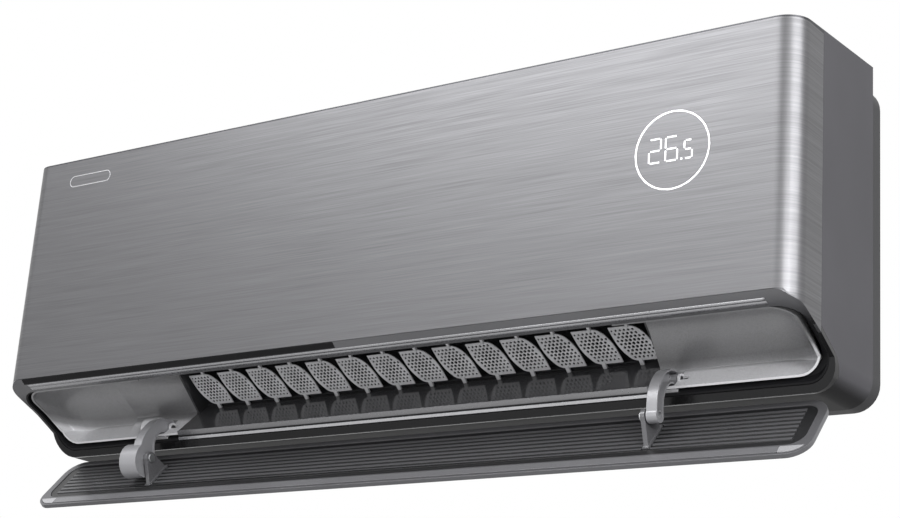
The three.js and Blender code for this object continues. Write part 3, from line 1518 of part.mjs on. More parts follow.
// A slanting slab whose inner face runs from one point to the other, its thickness to the left.
function slab(from, to) {
  const length = Math.hypot(to[0] - from[0], to[1] - from[1]);
  const left = [-(to[1] - from[1]) / length, (to[0] - from[0]) / length];
  return [from, to, shifted(to, left, coilThickness), shifted(from, left, coilThickness)];
}

const upperSlab = slab(coilFrontRear, coilApex);
const rearSlab = slab(shifted(coilApex, [1, 0], 1.5), coilRear);
const lowerSlab = [
  [-coilFrontDepth, coilFoot],
  [-coilRearFace, coilFoot],
  [-coilRearFace, coilKnee - 1],
  [-coilFrontDepth, coilKnee - 1],
];

function coilSlab(corners) {
  return sweepAlongX(outlineOf(corners), -coilHalfLength, coilHalfLength);
}

addPiece("evaporator_front_lower", coilSlab(lowerSlab), aluminium);
addPiece("evaporator_front_upper", coilSlab(upperSlab), aluminium);
addPiece("evaporator_rear", coilSlab(rearSlab), aluminium);

// A U-shaped return bend between two tubes of the coil.
function returnBend(first, second, x) {
  const middle = [(first[0] + second[0]) / 2, (first[1] + second[1]) / 2];
  const radius = Math.hypot(second[0] - first[0], second[1] - first[1]) / 2;
  const run = [(second[0] - first[0]) / (2 * radius), (second[1] - first[1]) / (2 * radius)];
  const points = [new THREE.Vector3(x - 1, first[0], first[1])];
  const steps = 4;
  for (let i = 0; i <= steps; i += 1) {
    const angle = (i / steps) * Math.PI;
    const along = -Math.cos(angle) * radius;
    points.push(new THREE.Vector3(
      x + 1 + Math.sin(angle) * radius,
      middle[0] + run[0] * along,
      middle[1] + run[1] * along,
    ));
  }
  points.push(new THREE.Vector3(x - 1, second[0], second[1]));
  const path = new THREE.CatmullRomCurve3(points);
  const section = new THREE.Shape();
  section.absarc(0, 0, 3.5, 0, Math.PI * 2);
  const options = { steps: 4, bevelEnabled: false, curveSegments: 3, extrudePath: path };
  return toSolid(new THREE.ExtrudeGeometry(section, options));
}

function coilPlate() {
  const near = coilHalfLength + fitGap;
  const inner = -coilRearFace;
  const plate = sweepAlongX(outlineOf([
    [-coilFrontDepth, coilFoot],
    [inner, coilFoot],
    [inner, coilKnee],
    coilApex,
    coilRear,
    rearSlab[2],
    rearSlab[3],
    upperSlab[2],
    upperSlab[3],
    [-coilFrontDepth, coilKnee],
  ]), near, near + coilPlateThickness);
  const face = near + coilPlateThickness;
  const bends = [];
  const slabs = [[lowerSlab[0], lowerSlab[3]], [upperSlab[3], upperSlab[2]]];
  const inwards = [[1, 0], [0.86, -0.52]];
  slabs.forEach(([from, to], which) => {
    for (let i = 0; i < 2; i += 1) {
      const at = (share) => shifted(
        [from[0] + (to[0] - from[0]) * share, from[1] + (to[1] - from[1]) * share],
        inwards[which],
        coilThickness / 2,
      );
      bends.push(returnBend(at(0.16 + i * 0.42), at(0.4 + i * 0.42), face));
    }
  });
  return join(plate, ...bends);
}

addPiece("coil_plate_right", coilPlate(), zincSteel);
addPiece("coil_plate_left", mirroredInX(coilPlate()), zincSteel);

// Trough under the front slab; its rear edge is the tongue in front of the fan.
function drainPan() {
  const half = coilHalfLength + 14;
  const wall = 2.4;
  const front = -coilFrontDepth - 14;
  const rear = -coilRearFace + 6;
  const tongue = -coilRearFace + 27.5;
  const outside = [
    [front, coilFoot + 17],
    [front, coilFoot - 8],
    [tongue - 7.5, coilFoot - 11],
    [tongue, coilFoot + 3.5],
    [tongue - 2.5, coilFoot + 7.5],
    [rear, coilFoot + 7.5],
    [rear, coilFoot + 17],
  ];
  const hollow = [
    [front + wall, coilFoot + 30],
    [front + wall, coilFoot - 2.5],
    [rear - wall, coilFoot - 4],
    [rear - wall, coilFoot + 30],
  ];
  return cut(
    sweepAlongX(outlineOf(outside), -half, half),
    sweepAlongX(outlineOf(hollow), -half + wall, half - wall),
    rodAlongX(fanRadius + 3, -half - 1, half + 1, ...fanCentre, 24),
  );
}

addPiece("drain_pan", drainPan(), blackPlastic);

// ---------------------------------------------------------------- electrics

function controlBox() {
  const shell = block(boxNear, boxFar, -boxFront + boxWall, -boxRear, boxLow, boxHigh);
  const room = block(
    boxNear + boxWall,
    boxFar - boxWall,
    -boxFront,
    -boxRear - boxWall,
    boxLow + boxWall,
    boxHigh - boxWall,
  );
  return cut(shell, room);
}

const boardDepth = 12;           // control board, in front of the box's rear wall

function controlBoard() {
  const rear = -boxRear - boxWall - fitGap;
  const face = rear - boardDepth;
  const board = block(boxNear + 6, boxFar - 6, face - 1.6, face, boxLow + 8, boxHigh - 8);
  const posts = [boxNear + 16, boxFar - 20].flatMap((x) => [boxLow + 18, boxHigh - 24].map((z) => (
    block(x, x + 5, face - 0.8, rear, z, z + 5)
  )));
  const relay = block(boxNear + 30, boxNear + 52, face - 15, face - 0.8, boxLow + 45, boxLow + 63);
  const capacitor = rodAlongY(11, face - 19, face - 0.8, boxFar - 45, boxHigh - 50, 12);
  return join(board, ...posts, relay, capacitor);
}

addPiece("control_box", controlBox(), blackPlastic);
addPiece("control_board", controlBoard(), boardGreen);
const lidFront = -boxFront;
const lidRear = -boxFront + boxWall - fitGap;
addPiece("control_box_lid", block(boxNear, boxFar, lidFront, lidRear, boxLow, boxHigh), blackPlastic);

// Round display holder between the control box's lid and the panel.
const displayDepth = frontDepth - 6.1;
addPiece(
  "display_board",
  rodAlongY(ringRadius + 2.4, -displayDepth, lidFront - fitGap, ringCentreX, ringCentreZ, 20),
  blackPlastic,
);

// ---------------------------------------------------------------- inlet grille and filters

const grilleColumns = 10;
const grilleRows = 2;
const grilleBar = 6;

function slots(x0, x1, y0, y1, columns, rows, bar, low, high) {
  const width = (x1 - x0 - bar) / columns;
  const depth = (y1 - y0 - bar) / rows;
  const cells = [];
  for (let i = 0; i < columns; i += 1) {
    for (let j = 0; j < rows; j += 1) {
      const x = x0 + bar + i * width;
      const y = y0 + bar + j * depth;
      cells.push(block(x, x + width - bar, y, y + depth - bar, low, high));
    }
  }
  return cells;
}

function inletGrille() {
  const half = inletHalfLength - fitGap;
  const front = inletFront + fitGap;
  const rear = inletRear - fitGap;
  const sheet = common(cut(envelope(2.8), envelope(5.6)), block(-half, half, front, rear, 300, rearTopHeight));
  return cut(sheet, ...slots(-half, half, front, rear, grilleColumns, grilleRows, grilleBar, 300, 360));
}

// A filter cassette: a frame with a thin net across its windows, seen as a shallow recess.
function filterCassette() {
  const near = 4;
  const far = inletHalfLength - 1;
  const front = inletFront + 1;
  const rear = inletRear - 1;
  const sheet = common(cut(envelope(0.3), envelope(2.5)), block(near, far, front, rear, 300, rearTopHeight));
  const recess = cut(envelope(-2), envelope(1.4));
  const windows = slots(near, far, front, rear, 3, 1, 9, 300, 360);
  return cut(sheet, ...windows.map((window) => common(window, recess)));
}

addPiece("inlet_grille", inletGrille(), blackPlastic);
addPiece("filter_right", filterCassette(), filterMesh);
addPiece("filter_left", mirroredInX(filterCassette()), filterMesh);

unit.position.set(0, 0, -(plateLow + plateHigh) / 2);
unit.updateMatrixWorld(true);

export default unit;
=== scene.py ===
import json
import math

import bmesh
import bpy
from mathutils import Matrix, Vector

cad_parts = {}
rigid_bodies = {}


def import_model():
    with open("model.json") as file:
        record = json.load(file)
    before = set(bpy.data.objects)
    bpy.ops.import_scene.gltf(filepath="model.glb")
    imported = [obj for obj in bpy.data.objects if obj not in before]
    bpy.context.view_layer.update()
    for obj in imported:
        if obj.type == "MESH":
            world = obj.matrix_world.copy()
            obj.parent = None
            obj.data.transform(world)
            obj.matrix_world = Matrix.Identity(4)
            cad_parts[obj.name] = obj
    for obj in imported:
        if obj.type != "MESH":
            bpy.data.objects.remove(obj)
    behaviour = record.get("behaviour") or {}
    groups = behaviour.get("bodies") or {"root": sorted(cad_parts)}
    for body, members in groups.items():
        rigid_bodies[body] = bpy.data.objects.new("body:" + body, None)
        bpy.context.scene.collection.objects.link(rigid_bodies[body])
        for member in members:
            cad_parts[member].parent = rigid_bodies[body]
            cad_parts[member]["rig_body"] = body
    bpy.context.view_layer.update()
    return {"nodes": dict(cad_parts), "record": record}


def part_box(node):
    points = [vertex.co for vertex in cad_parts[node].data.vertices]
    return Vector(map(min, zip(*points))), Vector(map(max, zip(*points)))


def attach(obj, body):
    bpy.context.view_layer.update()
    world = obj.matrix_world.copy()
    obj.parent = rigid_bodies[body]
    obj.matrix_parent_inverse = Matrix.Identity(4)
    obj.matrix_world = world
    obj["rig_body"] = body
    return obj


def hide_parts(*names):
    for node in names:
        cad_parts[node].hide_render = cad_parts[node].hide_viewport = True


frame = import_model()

cadNodes = frame["nodes"]
slotOf = {row["node"]: row["material_slot"] for row in frame["record"]["subparts"]}
scene = bpy.context.scene
mm = 0.001
plateMiddle = 180 * mm  # the frame's origin above the underside of the cover
print("frame loaded with", len(cadNodes), "nodes")

# camera, where the photograph was taken from

photoCamera = {
    "place": (1.217605, -1.689122, -0.610814),
    "azimuth": 36.06,
    "elevation": -17.184,
    "roll": 3.858,
    "focalPixels": 1954.447,
    "framePixels": 900,
    "sensor": 36.0,
}


def makeCamera(look):
    turn = math.radians(look["azimuth"])
    lift = math.radians(look["elevation"])
    roll = math.radians(look["roll"])
    back = Vector((math.sin(turn) * math.cos(lift), -math.cos(turn) * math.cos(lift), math.sin(lift)))
    right = (-back).cross(Vector((0, 0, 1))).normalized()
    up = right.cross(-back)
    rolledRight = right * math.cos(roll) + up * math.sin(roll)
    rolledUp = up * math.cos(roll) - right * math.sin(roll)
    data = bpy.data.cameras.new("photoCamera")
    data.sensor_width = look["sensor"]
    data.lens = look["focalPixels"] / look["framePixels"] * look["sensor"]
    camera = bpy.data.objects.new("photoCamera", data)
    scene.collection.objects.link(camera)
    columns = Matrix((rolledRight, rolledUp, back)).transposed()
    camera.matrix_world = Matrix.Translation(look["place"]) @ columns.to_4x4()
    scene.camera = camera


makeCamera(photoCamera)

# studio: white surround, pale floor, soft lamps

studio = {
    "above": 0.52,  # strength of the surround over the object
    "below": 0.1,
    "turnFrom": -0.45,  # heights between which it goes from below to above, from -1 to 1
    "turnTo": 0.3,
    "floorHeight": -1.35,
    "floorSize": 7.0,
    "floorColor": (0.58, 0.58, 0.58),
    "floorRough": 0.9,
}

softLamps = {
    "keyHigh": {"place": (-0.8, -2.15, 1.8), "size": (2.8, 1.15), "power": 80},
    "trayFront": {"place": (1.75, -1.45, 0.14), "size": (0.9, 0.3), "power": 26},
    "mouthLow": {"place": (0.1, -2.4, -0.42), "size": (2.2, 0.3), "power": 11},
    "sideTall": {"place": (2.44, -0.65, 0.94), "size": (1.7, 1.1), "power": 40},
}


def makeSurround(look):
    world = bpy.data.worlds.new("surround")
    scene.world = world
    world.use_nodes = True
    tree = world.node_tree
    tree.nodes.clear()
    output = tree.nodes.new("ShaderNodeOutputWorld")
    mix = tree.nodes.new("ShaderNodeMixShader")
    paths = tree.nodes.new("ShaderNodeLightPath")
    seen = tree.nodes.new("ShaderNodeBackground")
    seen.inputs["Color"].default_value = (1, 1, 1, 1)
    seen.inputs["Strength"].default_value = 1
    light = tree.nodes.new("ShaderNodeBackground")
    light.inputs["Color"].default_value = (1, 1, 1, 1)
    direction = tree.nodes.new("ShaderNodeTexCoord")
    parts = tree.nodes.new("ShaderNodeSeparateXYZ")
    height = tree.nodes.new("ShaderNodeMapRange")
    height.interpolation_type = "SMOOTHSTEP"
    height.inputs["From Min"].default_value = look["turnFrom"]
    height.inputs["From Max"].default_value = look["turnTo"]
    height.inputs["To Min"].default_value = look["below"]
    height.inputs["To Max"].default_value = look["above"]
    tree.links.new(direction.outputs["Generated"], parts.inputs[0])
    tree.links.new(parts.outputs["Z"], height.inputs["Value"])
    tree.links.new(height.outputs[0], light.inputs["Strength"])
    camera = tree.nodes.new("ShaderNodeMath")
    camera.operation = "MAXIMUM"
    gloss = tree.nodes.new("ShaderNodeMath")
    gloss.operation = "MAXIMUM"
    tree.links.new(paths.outputs["Is Camera Ray"], camera.inputs[0])
    tree.links.new(paths.outputs["Is Transmission Ray"], camera.inputs[1])
    tree.links.new(camera.outputs[0], gloss.inputs[0])
    tree.links.new(paths.outputs["Is Glossy Ray"], gloss.inputs[1])
    tree.links.new(gloss.outputs[0], mix.inputs["Fac"])
    tree.links.new(light.outputs[0], mix.inputs[1])
    tree.links.new(seen.outputs[0], mix.inputs[2])
    tree.links.new(mix.outputs[0], output.inputs["Surface"])


def makeLamps(lamps):
    for name, look in lamps.items():
        data = bpy.data.lights.new(name, "AREA")
        data.shape = "RECTANGLE"
        data.size, data.size_y = look["size"]
        data.energy = look["power"]
        lamp = bpy.data.objects.new(name, data)
        lamp.location = look["place"]
        lamp.rotation_mode = "QUATERNION"
        lamp.rotation_quaternion = Vector(look["place"]).to_track_quat("Z", "Y")
        lamp.visible_camera = False
        scene.collection.objects.link(lamp)


def makeFloor(look):
    half = look["floorSize"] / 2
    height = look["floorHeight"]
    mesh = bpy.data.meshes.new("floor")
    corners = [(-half, -half, height), (half, -half, height), (half, half, height), (-half, half, height)]
    mesh.from_pydata(corners, [], [(0, 1, 2, 3)])
    material = bpy.data.materials.new("paleFloor")
    material.use_nodes = True
    shader = material.node_tree.nodes["Principled BSDF"]
    shader.inputs["Base Color"].default_value = (*look["floorColor"], 1)
    shader.inputs["Roughness"].default_value = look["floorRough"]
    mesh.materials.append(material)
    floor = bpy.data.objects.new("floor", mesh)
    scene.collection.objects.link(floor)


makeSurround(studio)
makeLamps(softLamps)
makeFloor(studio)
scene.view_settings.view_transform = "Standard"
print("camera, lamps and floor made")

# finishes


def newFinish(name, look):
    material = bpy.data.materials.new(name)
    material.use_nodes = True
    shader = material.node_tree.nodes["Principled BSDF"]
    shader.inputs["Base Color"].default_value = (*look["color"], 1)
    shader.inputs["Metallic"].default_value = look.get("metal", 0)
    shader.inputs["Roughness"].default_value = look["rough"]
    shader.inputs["Specular IOR Level"].default_value = look.get("shine", 0.5)
    return material, material.node_tree, shader


# Noise in the piece's own space, with one scale for each direction.
def grainField(tree, stretch, detail):
    place = tree.nodes.new("ShaderNodeTexCoord")
    scale = tree.nodes.new("ShaderNodeMapping")
    scale.inputs["Scale"].default_value = stretch
    noise = tree.nodes.new("ShaderNodeTexNoise")
    noise.inputs["Scale"].default_value = 1
    noise.inputs["Detail"].default_value = detail
    tree.links.new(place.outputs["Object"], scale.inputs["Vector"])
    tree.links.new(scale.outputs[0], noise.inputs["Vector"])
    return noise.outputs["Fac"]


# Noise keeps mostly to 0.3 to 0.7, so that part is spread from low to high.
def spread(tree, field, low, high, fromLow=0.3, fromHigh=0.7):
    remap = tree.nodes.new("ShaderNodeMapRange")
    remap.inputs["From Min"].default_value = fromLow
    remap.inputs["From Max"].default_value = fromHigh
    remap.inputs["To Min"].default_value = low
    remap.inputs["To Max"].default_value = high
    tree.links.new(field, remap.inputs["Value"])
    return remap.outputs[0]


def tint(tree, field, color, low, high):
    share = spread(tree, field, 0, 1)
    mix = tree.nodes.new("ShaderNodeMix")
    mix.data_type = "RGBA"
    mix.inputs["A"].default_value = (*[c * low for c in color], 1)
    mix.inputs["B"].default_value = (*[c * high for c in color], 1)
    tree.links.new(share, mix.inputs["Factor"])
    return mix.outputs["Result"]


# Painted light and shade: shares of the color that change along a direction, given as (millimetres, share of
# the color).
def paintedShadeAlong(tree, color, tones, along=(0, 0, 1), start=plateMiddle / mm):
    place = tree.nodes.new("ShaderNodeTexCoord")
    reach = tree.nodes.new("ShaderNodeVectorMath")
    reach.operation = "DOT_PRODUCT"
    reach.inputs[1].default_value = along
    tree.links.new(place.outputs["Object"], reach.inputs[0])
    low, high = tones[0][0], tones[-1][0]
    share = spread(tree, reach.outputs["Value"], 0, 1, (low - start) * mm, (high - start) * mm)
    ramp = tree.nodes.new("ShaderNodeValToRGB")
    stops = ramp.color_ramp.elements
    while len(stops) < len(tones):
        stops.new(0.5)
    for stop, (height, shade) in zip(stops, tones):
        stop.position = (height - low) / (high - low)
        stop.color = (shade, shade, shade, 1)
    mix = tree.nodes.new("ShaderNodeMix")
    mix.data_type = "RGBA"
    mix.blend_type = "MULTIPLY"
    mix.inputs["Factor"].default_value = 1
    tree.links.new(share, ramp.inputs["Fac"])
    tree.links.new(color, mix.inputs["A"])
    tree.links.new(ramp.outputs["Color"], mix.inputs["B"])
    return mix.outputs["Result"]


def bump(tree, shader, field, depth):
    node = tree.nodes.new("ShaderNodeBump")
    node.inputs["Strength"].default_value = 1
    node.inputs["Distance"].default_value = depth  # metres
    tree.links.new(field, node.inputs["Height"])
    tree.links.new(node.outputs[0], shader.inputs["Normal"])


# what all moulded and all brushed finishes have in common
mouldedCommon = {"cloud": 9, "cloudTint": (0.94, 1.06), "detail": 2, "roughSpread": 0.05}
brushedCommon = {"lineDetail": 4, "bandDetail": 2, "rougher": 0.06, "smoother": 0.04}


# Plain metal, plastic or paint: a fine grain over a broad, weak cloud.
def moulded(name, look):
    material, tree, shader = newFinish(name, look)
    common = mouldedCommon
    fine = grainField(tree, (look["grain"],) * 3, common["detail"])
    broad = grainField(tree, (common["cloud"],) * 3, common["detail"])
    color = tint(tree, broad, look["color"], *common["cloudTint"])
    if "tones" in look:
        color = paintedShadeAlong(tree, color, look["tones"], *look.get("along", ()))
    tree.links.new(color, shader.inputs["Base Color"])
    rough, change = look["rough"], common["roughSpread"]
    tree.links.new(spread(tree, fine, rough - change, rough + change), shader.inputs["Roughness"])
    bump(tree, shader, fine, look["depth"])
    return material


# Fine lines along the stretch's long way, with broader bands under them.
def brushed(name, look):
    material, tree, shader = newFinish(name, look)
    common = brushedCommon
    lines = grainField(tree, look["stretch"], common["lineDetail"])
    bands = grainField(tree, look["bands"], common["bandDetail"])
    join = tree.nodes.new("ShaderNodeMix")
    join.data_type = "FLOAT"
    join.inputs["Factor"].default_value = look["bandShare"]
    tree.links.new(lines, join.inputs["A"])
    tree.links.new(bands, join.inputs["B"])
    field = join.outputs["Result"]
    low, high = look["contrast"]
    color = tint(tree, field, look["color"], low, high)
    if "edge" in look:
        color = darkEdge(tree, color, look["edge"])
    tree.links.new(color, shader.inputs["Base Color"])
    roughness = spread(tree, field, look["rough"] + common["rougher"], look["rough"] - common["smoother"])
    tree.links.new(roughness, shader.inputs["Roughness"])
    bump(tree, shader, field, look["depth"])
    return material


# A darker strip above a height, such as the sheet's cut top edge.
def darkEdge(tree, color, edge):
    place = tree.nodes.new("ShaderNodeTexCoord")
    parts = tree.nodes.new("ShaderNodeSeparateXYZ")
    tree.links.new(place.outputs["Object"], parts.inputs[0])
    share = spread(tree, parts.outputs["Z"], 0, 1, edge["height"], edge["height"] + edge["blend"])
    mix = tree.nodes.new("ShaderNodeMix")
    mix.data_type = "RGBA"
    mix.inputs["B"].default_value = (*edge["color"], 1)
    tree.links.new(share, mix.inputs["Factor"])
    tree.links.new(color, mix.inputs["A"])
    return mix.outputs["Result"]


brushedLook = {
    "color": (0.14, 0.14, 0.146),
    "metal": 1.0,
    "rough": 0.38,
    "stretch": (11, 11, 1000),
    "bands": (4, 4, 260),
    "bandShare": 0.3,
    "contrast": (0.8, 1.2),
    "depth": 0.00003,
    "edge": {"height": (335.0 - 1.7) * mm - plateMiddle, "blend": 0.2 * mm, "color": (0.06, 0.06, 0.065)},
}

# one finish for each material slot of the CAD
finishes = {
    "brushed_panel": brushed("brushedPanel", brushedLook),
    "louver_shell": moulded("louverShell", {
        "color": (0.12, 0.12, 0.127), "metal": 0.5, "rough": 0.36, "grain": 1500, "depth": 0.00001}),
    # painted shade: the cover is darkened over its lowest 16 mm, towards its underside, where the louver
    # shades it
    "side_cover": moulded("coverPaintedShadeGrey", {
        "color": (0.062, 0.061, 0.067), "rough": 0.45, "grain": 1400, "depth": 0.00002, "shine": 0.07,
        "tones": [(0, 0.12), (6, 0.15), (16, 1.0), (60, 1.0)]}),
    "satin_grey": moulded("satinGrey", {
        "color": (0.34, 0.34, 0.355), "metal": 0.75, "rough": 0.3, "grain": 1600, "depth": 0.00001}),
    "vane_plastic": moulded("vaneGrey", {
        "color": (0.66, 0.66, 0.68), "metal": 0.1, "rough": 0.38, "grain": 1600, "depth": 0.000005}),
    "dark_gloss": moulded("glossBlack", {
        "color": (0.006, 0.006, 0.007), "rough": 0.16, "grain": 300, "depth": 0.000004, "shine": 0.12}),
    "dark_plastic": moulded("ribCharcoal", {
        "color": (0.05, 0.05, 0.053), "metal": 0.3, "rough": 0.34, "grain": 1500, "depth": 0.00001}),
    "white_light": moulded("displayWhite", {
        "color": (0.9, 0.91, 0.93), "rough": 0.35, "grain": 900, "depth": 0.00001}),
    "bright_trim": moulded("plated", {
        "color": (0.62, 0.62, 0.64), "metal": 1.0, "rough": 0.22, "grain": 200, "depth": 0.000002}),
    "zinc_steel": moulded("zincSteel", {
        "color": (0.5, 0.51, 0.52), "metal": 0.95, "rough": 0.38, "grain": 220, "depth": 0.00003}),
    "aluminium_fins": brushed("finAluminium", {
        "color": (0.62, 0.64, 0.66), "metal": 0.95, "rough": 0.35, "stretch": (900, 6, 6),
        "bands": (60, 4, 4), "bandShare": 0.25, "contrast": (0.35, 1.2), "depth": 0.0006}),
    "black_plastic": moulded("blackMoulding", {
        "color": (0.02, 0.02, 0.022), "rough": 0.5, "grain": 1300, "depth": 0.00005, "shine": 0.3}),
    "circuit_board": moulded("boardGreen", {
        "color": (0.02, 0.11, 0.05), "rough": 0.35, "grain": 700, "depth": 0.00003}),
    "filter_net": moulded("netBlack", {
        "color": (0.03, 0.03, 0.033), "rough": 0.6, "grain": 1200, "depth": 0.00003}),
}

# Finishes of single pieces. Tones are heights above the cover's underside, with shares of the color; they
# paint light and shade onto the finish.
# painted light and shade: the tray's floor up to 34 mm keeps the full color as if lit, the walls above it are
# darkened to 0.23 to 0.44
trayPaintedLightGrey = moulded("trayPaintedLightGrey", {
    "color": (0.66, 0.66, 0.68), "metal": 0.15, "rough": 0.28, "grain": 1700, "depth": 0.000003,
    "tones": [(8, 1.0), (34, 1.0), (39, 0.4), (46, 0.23), (74, 0.44), (90, 0.3)]})
# painted shade: a near-black line at 12.2 to 13.2 mm stands for the shadowed groove of the lip trim, and the
# trim above it is darkened to about half
lipPaintedShadeGrey = moulded("lipPaintedShadeGrey", {
    "color": (0.62, 0.62, 0.64), "metal": 1.0, "rough": 0.24, "grain": 400, "depth": 0.000002,
    "tones": [(7, 1.0), (11.7, 1.0), (12.2, 0.06), (13.2, 0.06), (13.7, 0.42), (18, 0.5)]})
# painted shade: the rim is darkened below 50 to 60 mm, on its lower part that faces down
rimPaintedShadeGrey = moulded("rimPaintedShadeGrey", {
    "color": (0.13, 0.13, 0.137), "metal": 0.55, "rough": 0.2, "grain": 1600, "depth": 0.000001,
    "tones": [(0, 0.12), (50, 0.15), (60, 1.0), (75, 1.0)]})
armGrey = moulded("armGrey", {
    "color": (0.27, 0.27, 0.283), "metal": 0.25, "rough": 0.34, "grain": 1500, "depth": 0.00001})
bandGrey = moulded("bandGrey", {
    "color": (0.4, 0.4, 0.415), "metal": 1.0, "rough": 0.3, "grain": 400, "depth": 0.000001})
stripGrey = moulded("stripGrey", {
    "color": (0.2, 0.2, 0.21), "metal": 0.5, "rough": 0.32, "grain": 1600, "depth": 0.00001})
bracketGrey = moulded("bracketGrey", {
    "color": (0.13, 0.13, 0.137), "metal": 0.35, "rough": 0.3, "grain": 1500, "depth": 0.000006})
darkSteel = moulded("darkSteel", {
    "color": (0.12, 0.12, 0.125), "metal": 0.9, "rough": 0.35, "grain": 500, "depth": 0.000006})
capGrey = moulded("capGrey", {
    "color": (0.4, 0.4, 0.415), "metal": 0.4, "rough": 0.3, "grain": 1600, "depth": 0.00001})
ductGrey = moulded("ductGrey", {
    "color": (0.05, 0.05, 0.053), "rough": 0.14, "grain": 300, "depth": 0.000004, "shine": 0.4})
# painted shadow: a near-black channel piece set in the gap between tray and rim, where there is only shade
channelPaintedShadowBlack = moulded("channelPaintedShadowBlack", {
    "color": (0.008, 0.008, 0.009), "rough": 0.5, "grain": 900, "depth": 0.00002, "shine": 0.15})

for nodeName, node in cadNodes.items():
    node.data.materials.clear()
    node.data.materials.append(finishes[slotOf[nodeName]])
print("finishes made:", len(finishes))

# painted shade: the grooves get 0.2 of the color, the rib tops the full color
ribGrooveShade = {"groove": 0.2, "top": 1.0, "topDepth": 0.35, "sameWay": 0.99}


# Painted shade in the grooves of a ribbed plate: lighter on the tops than in its grooves, on its upper side.
def grooveShadeTones(nodeName, look):
    mesh = cadNodes[nodeName].data
    widest = max(mesh.polygons, key=lambda face: face.area)
    out = widest.normal.copy()
    if out.z < 0:
        out = -out
    outward = [face for face in mesh.polygons if face.normal.dot(out) > look["sameWay"]]
    heights = [face.center.dot(out) / mm for face in outward]
    low, high = min(heights), max(heights)
    print(nodeName, "grooves are", round(high - low, 2), "mm deep")
    tones = [(low, look["groove"]), (high - look["topDepth"], look["groove"]), (high, look["top"])]
    return {"along": (tuple(out), 0.0), "tones": tones}


ribPaintedShadeGrey = moulded("ribPaintedShadeGrey", {
    "color": (0.085, 0.085, 0.09), "metal": 0.3, "rough": 0.34, "grain": 1500, "depth": 0.000006,
    **grooveShadeTones("louver_insert", ribGrooveShade)})

# making and placing pieces


def addPiece(name, mesh, body, slotName, replaces=(), matrix=None, finish=None):
    piece = bpy.data.objects.new(name, mesh)
    scene.collection.objects.link(piece)
    if matrix is not None:
        piece.matrix_world = matrix
    mesh.materials.clear()
    mesh.materials.append(finish or finishes[slotName])
    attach(piece, body)
    if replaces:
        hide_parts(*replaces)
    return piece


def bodyOf(nodeName):
    return cadNodes[nodeName]["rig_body"]


def smoothed(mesh, angle=35):
    limit = math.radians(angle)
    work = bmesh.new()
    work.from_mesh(mesh)
    work.normal_update()
    for face in work.faces:
        face.smooth = True
    for edge in work.edges:
        edge.smooth = len(edge.link_faces) == 2 and edge.calc_face_angle(0) < limit
    work.to_mesh(mesh)
    work.free()


def faceWeighted(piece):
    modifier = piece.modifiers.new("faceWeighted", "WEIGHTED_NORMAL")
    modifier.keep_sharp = True


refining = {
    "weld": 0.00001,  # metres
    "flatAngle": 0.4,
    "sharpAngle": 32,
    "roundSteps": 2,
}


# A finer copy of a rigid CAD piece: flat faces joined, edges rounded by so many millimetres.
def refined(nodeName, pieceName, edge, finish):
    work = bmesh.new()
    work.from_mesh(cadNodes[nodeName].data)
    bmesh.ops.remove_doubles(work, verts=work.verts, dist=refining["weld"])
    flat = math.radians(refining["flatAngle"])
    bmesh.ops.dissolve_limit(work, angle_limit=flat, verts=work.verts, edges=work.edges)
    if edge:
        limit = math.radians(refining["sharpAngle"])
        sharp = [e for e in work.edges if e.is_manifold and e.calc_face_angle(0) > limit]
        bmesh.ops.bevel(work, geom=sharp, offset=edge * mm, segments=refining["roundSteps"], profile=0.5,
                        affect="EDGES", clamp_overlap=True)
    mesh = bpy.data.meshes.new(pieceName)
    work.to_mesh(mesh)
    work.free()
    smoothed(mesh)
    piece = addPiece(pieceName, mesh, bodyOf(nodeName), slotOf[nodeName], (nodeName,), finish=finish)
    faceWeighted(piece)


for nodeName, pieceName, edge, finish in [
    ("front_casing", "frontCasingCover", 0, None),
    ("front_panel", "frontPanelSheet", 0, None),
    ("outlet_rim", "outletRimFrame", 0.4, rimPaintedShadeGrey),
    ("lower_lip_trim", "lowerLipBar", 0.15, lipPaintedShadeGrey),
    ("window_strip", "windowStripGloss", 0.3, None),
    ("outlet_duct", "outletDuctShell", 0, ductGrey),
    ("outlet_channel", "outletChannelGroove", 0, channelPaintedShadowBlack),
    ("right_end_tray", "rightTrayBowl", 0, trayPaintedLightGrey),
    ("left_end_tray", "leftTrayBowl", 0, trayPaintedLightGrey),
    ("louver_panel", "louverShell", 0.8, None),
    ("louver_insert", "louverRibs", 0.3, ribPaintedShadeGrey),
    ("louver_front_strip", "louverFrontStrip", 0.25, stripGrey),
    ("louver_cap_left", "louverCapLeft", 0.25, capGrey),
    ("louver_cap_right", "louverCapRight", 0.25, capGrey),
    ("louver_bracket_left", "louverBracketLeft", 0.5, bracketGrey),
    ("louver_bracket_right", "louverBracketRight", 0.5, bracketGrey),
    ("louver_pin_left", "louverPinLeft", 0.4, None),
    ("louver_pin_right", "louverPinRight", 0.4, None),
    ("arm_pin_right", "armPinRight", 0.4, darkSteel),
    ("arm_motor_left", "armMotorLeft", 0.4, darkSteel),
    ("louver_tilt_motor", "louverTiltMotor", 0.5, armGrey),
    ("louver_arm_left", "louverArmLeft", 1.2, armGrey),
    ("louver_arm_right", "louverArmRight", 1.2, armGrey),
    ("rear_chassis", "rearChassisFrame", 0.4, None),
    ("mounting_plate", "mountingPlateSheet", 0.2, None),
]:
    refined(nodeName, pieceName, edge, finish)
print("rigid pieces refined")

# bright screw caps on the arms' pivots

capLook = {
    "pivot": (-87.166, 26.210),
    "radius": 4.6,
    "rise": 1.5,
    "sunk": 0.8,
    "slotDepth": 0.55,
    "slotHalfWidth": 0.75,
    "slotReach": 0.85,  # share of the radius
    "caps": [("armScrewLeft", "arm_left", -328.5), ("armScrewRight", "arm_right", 327.6)],
}


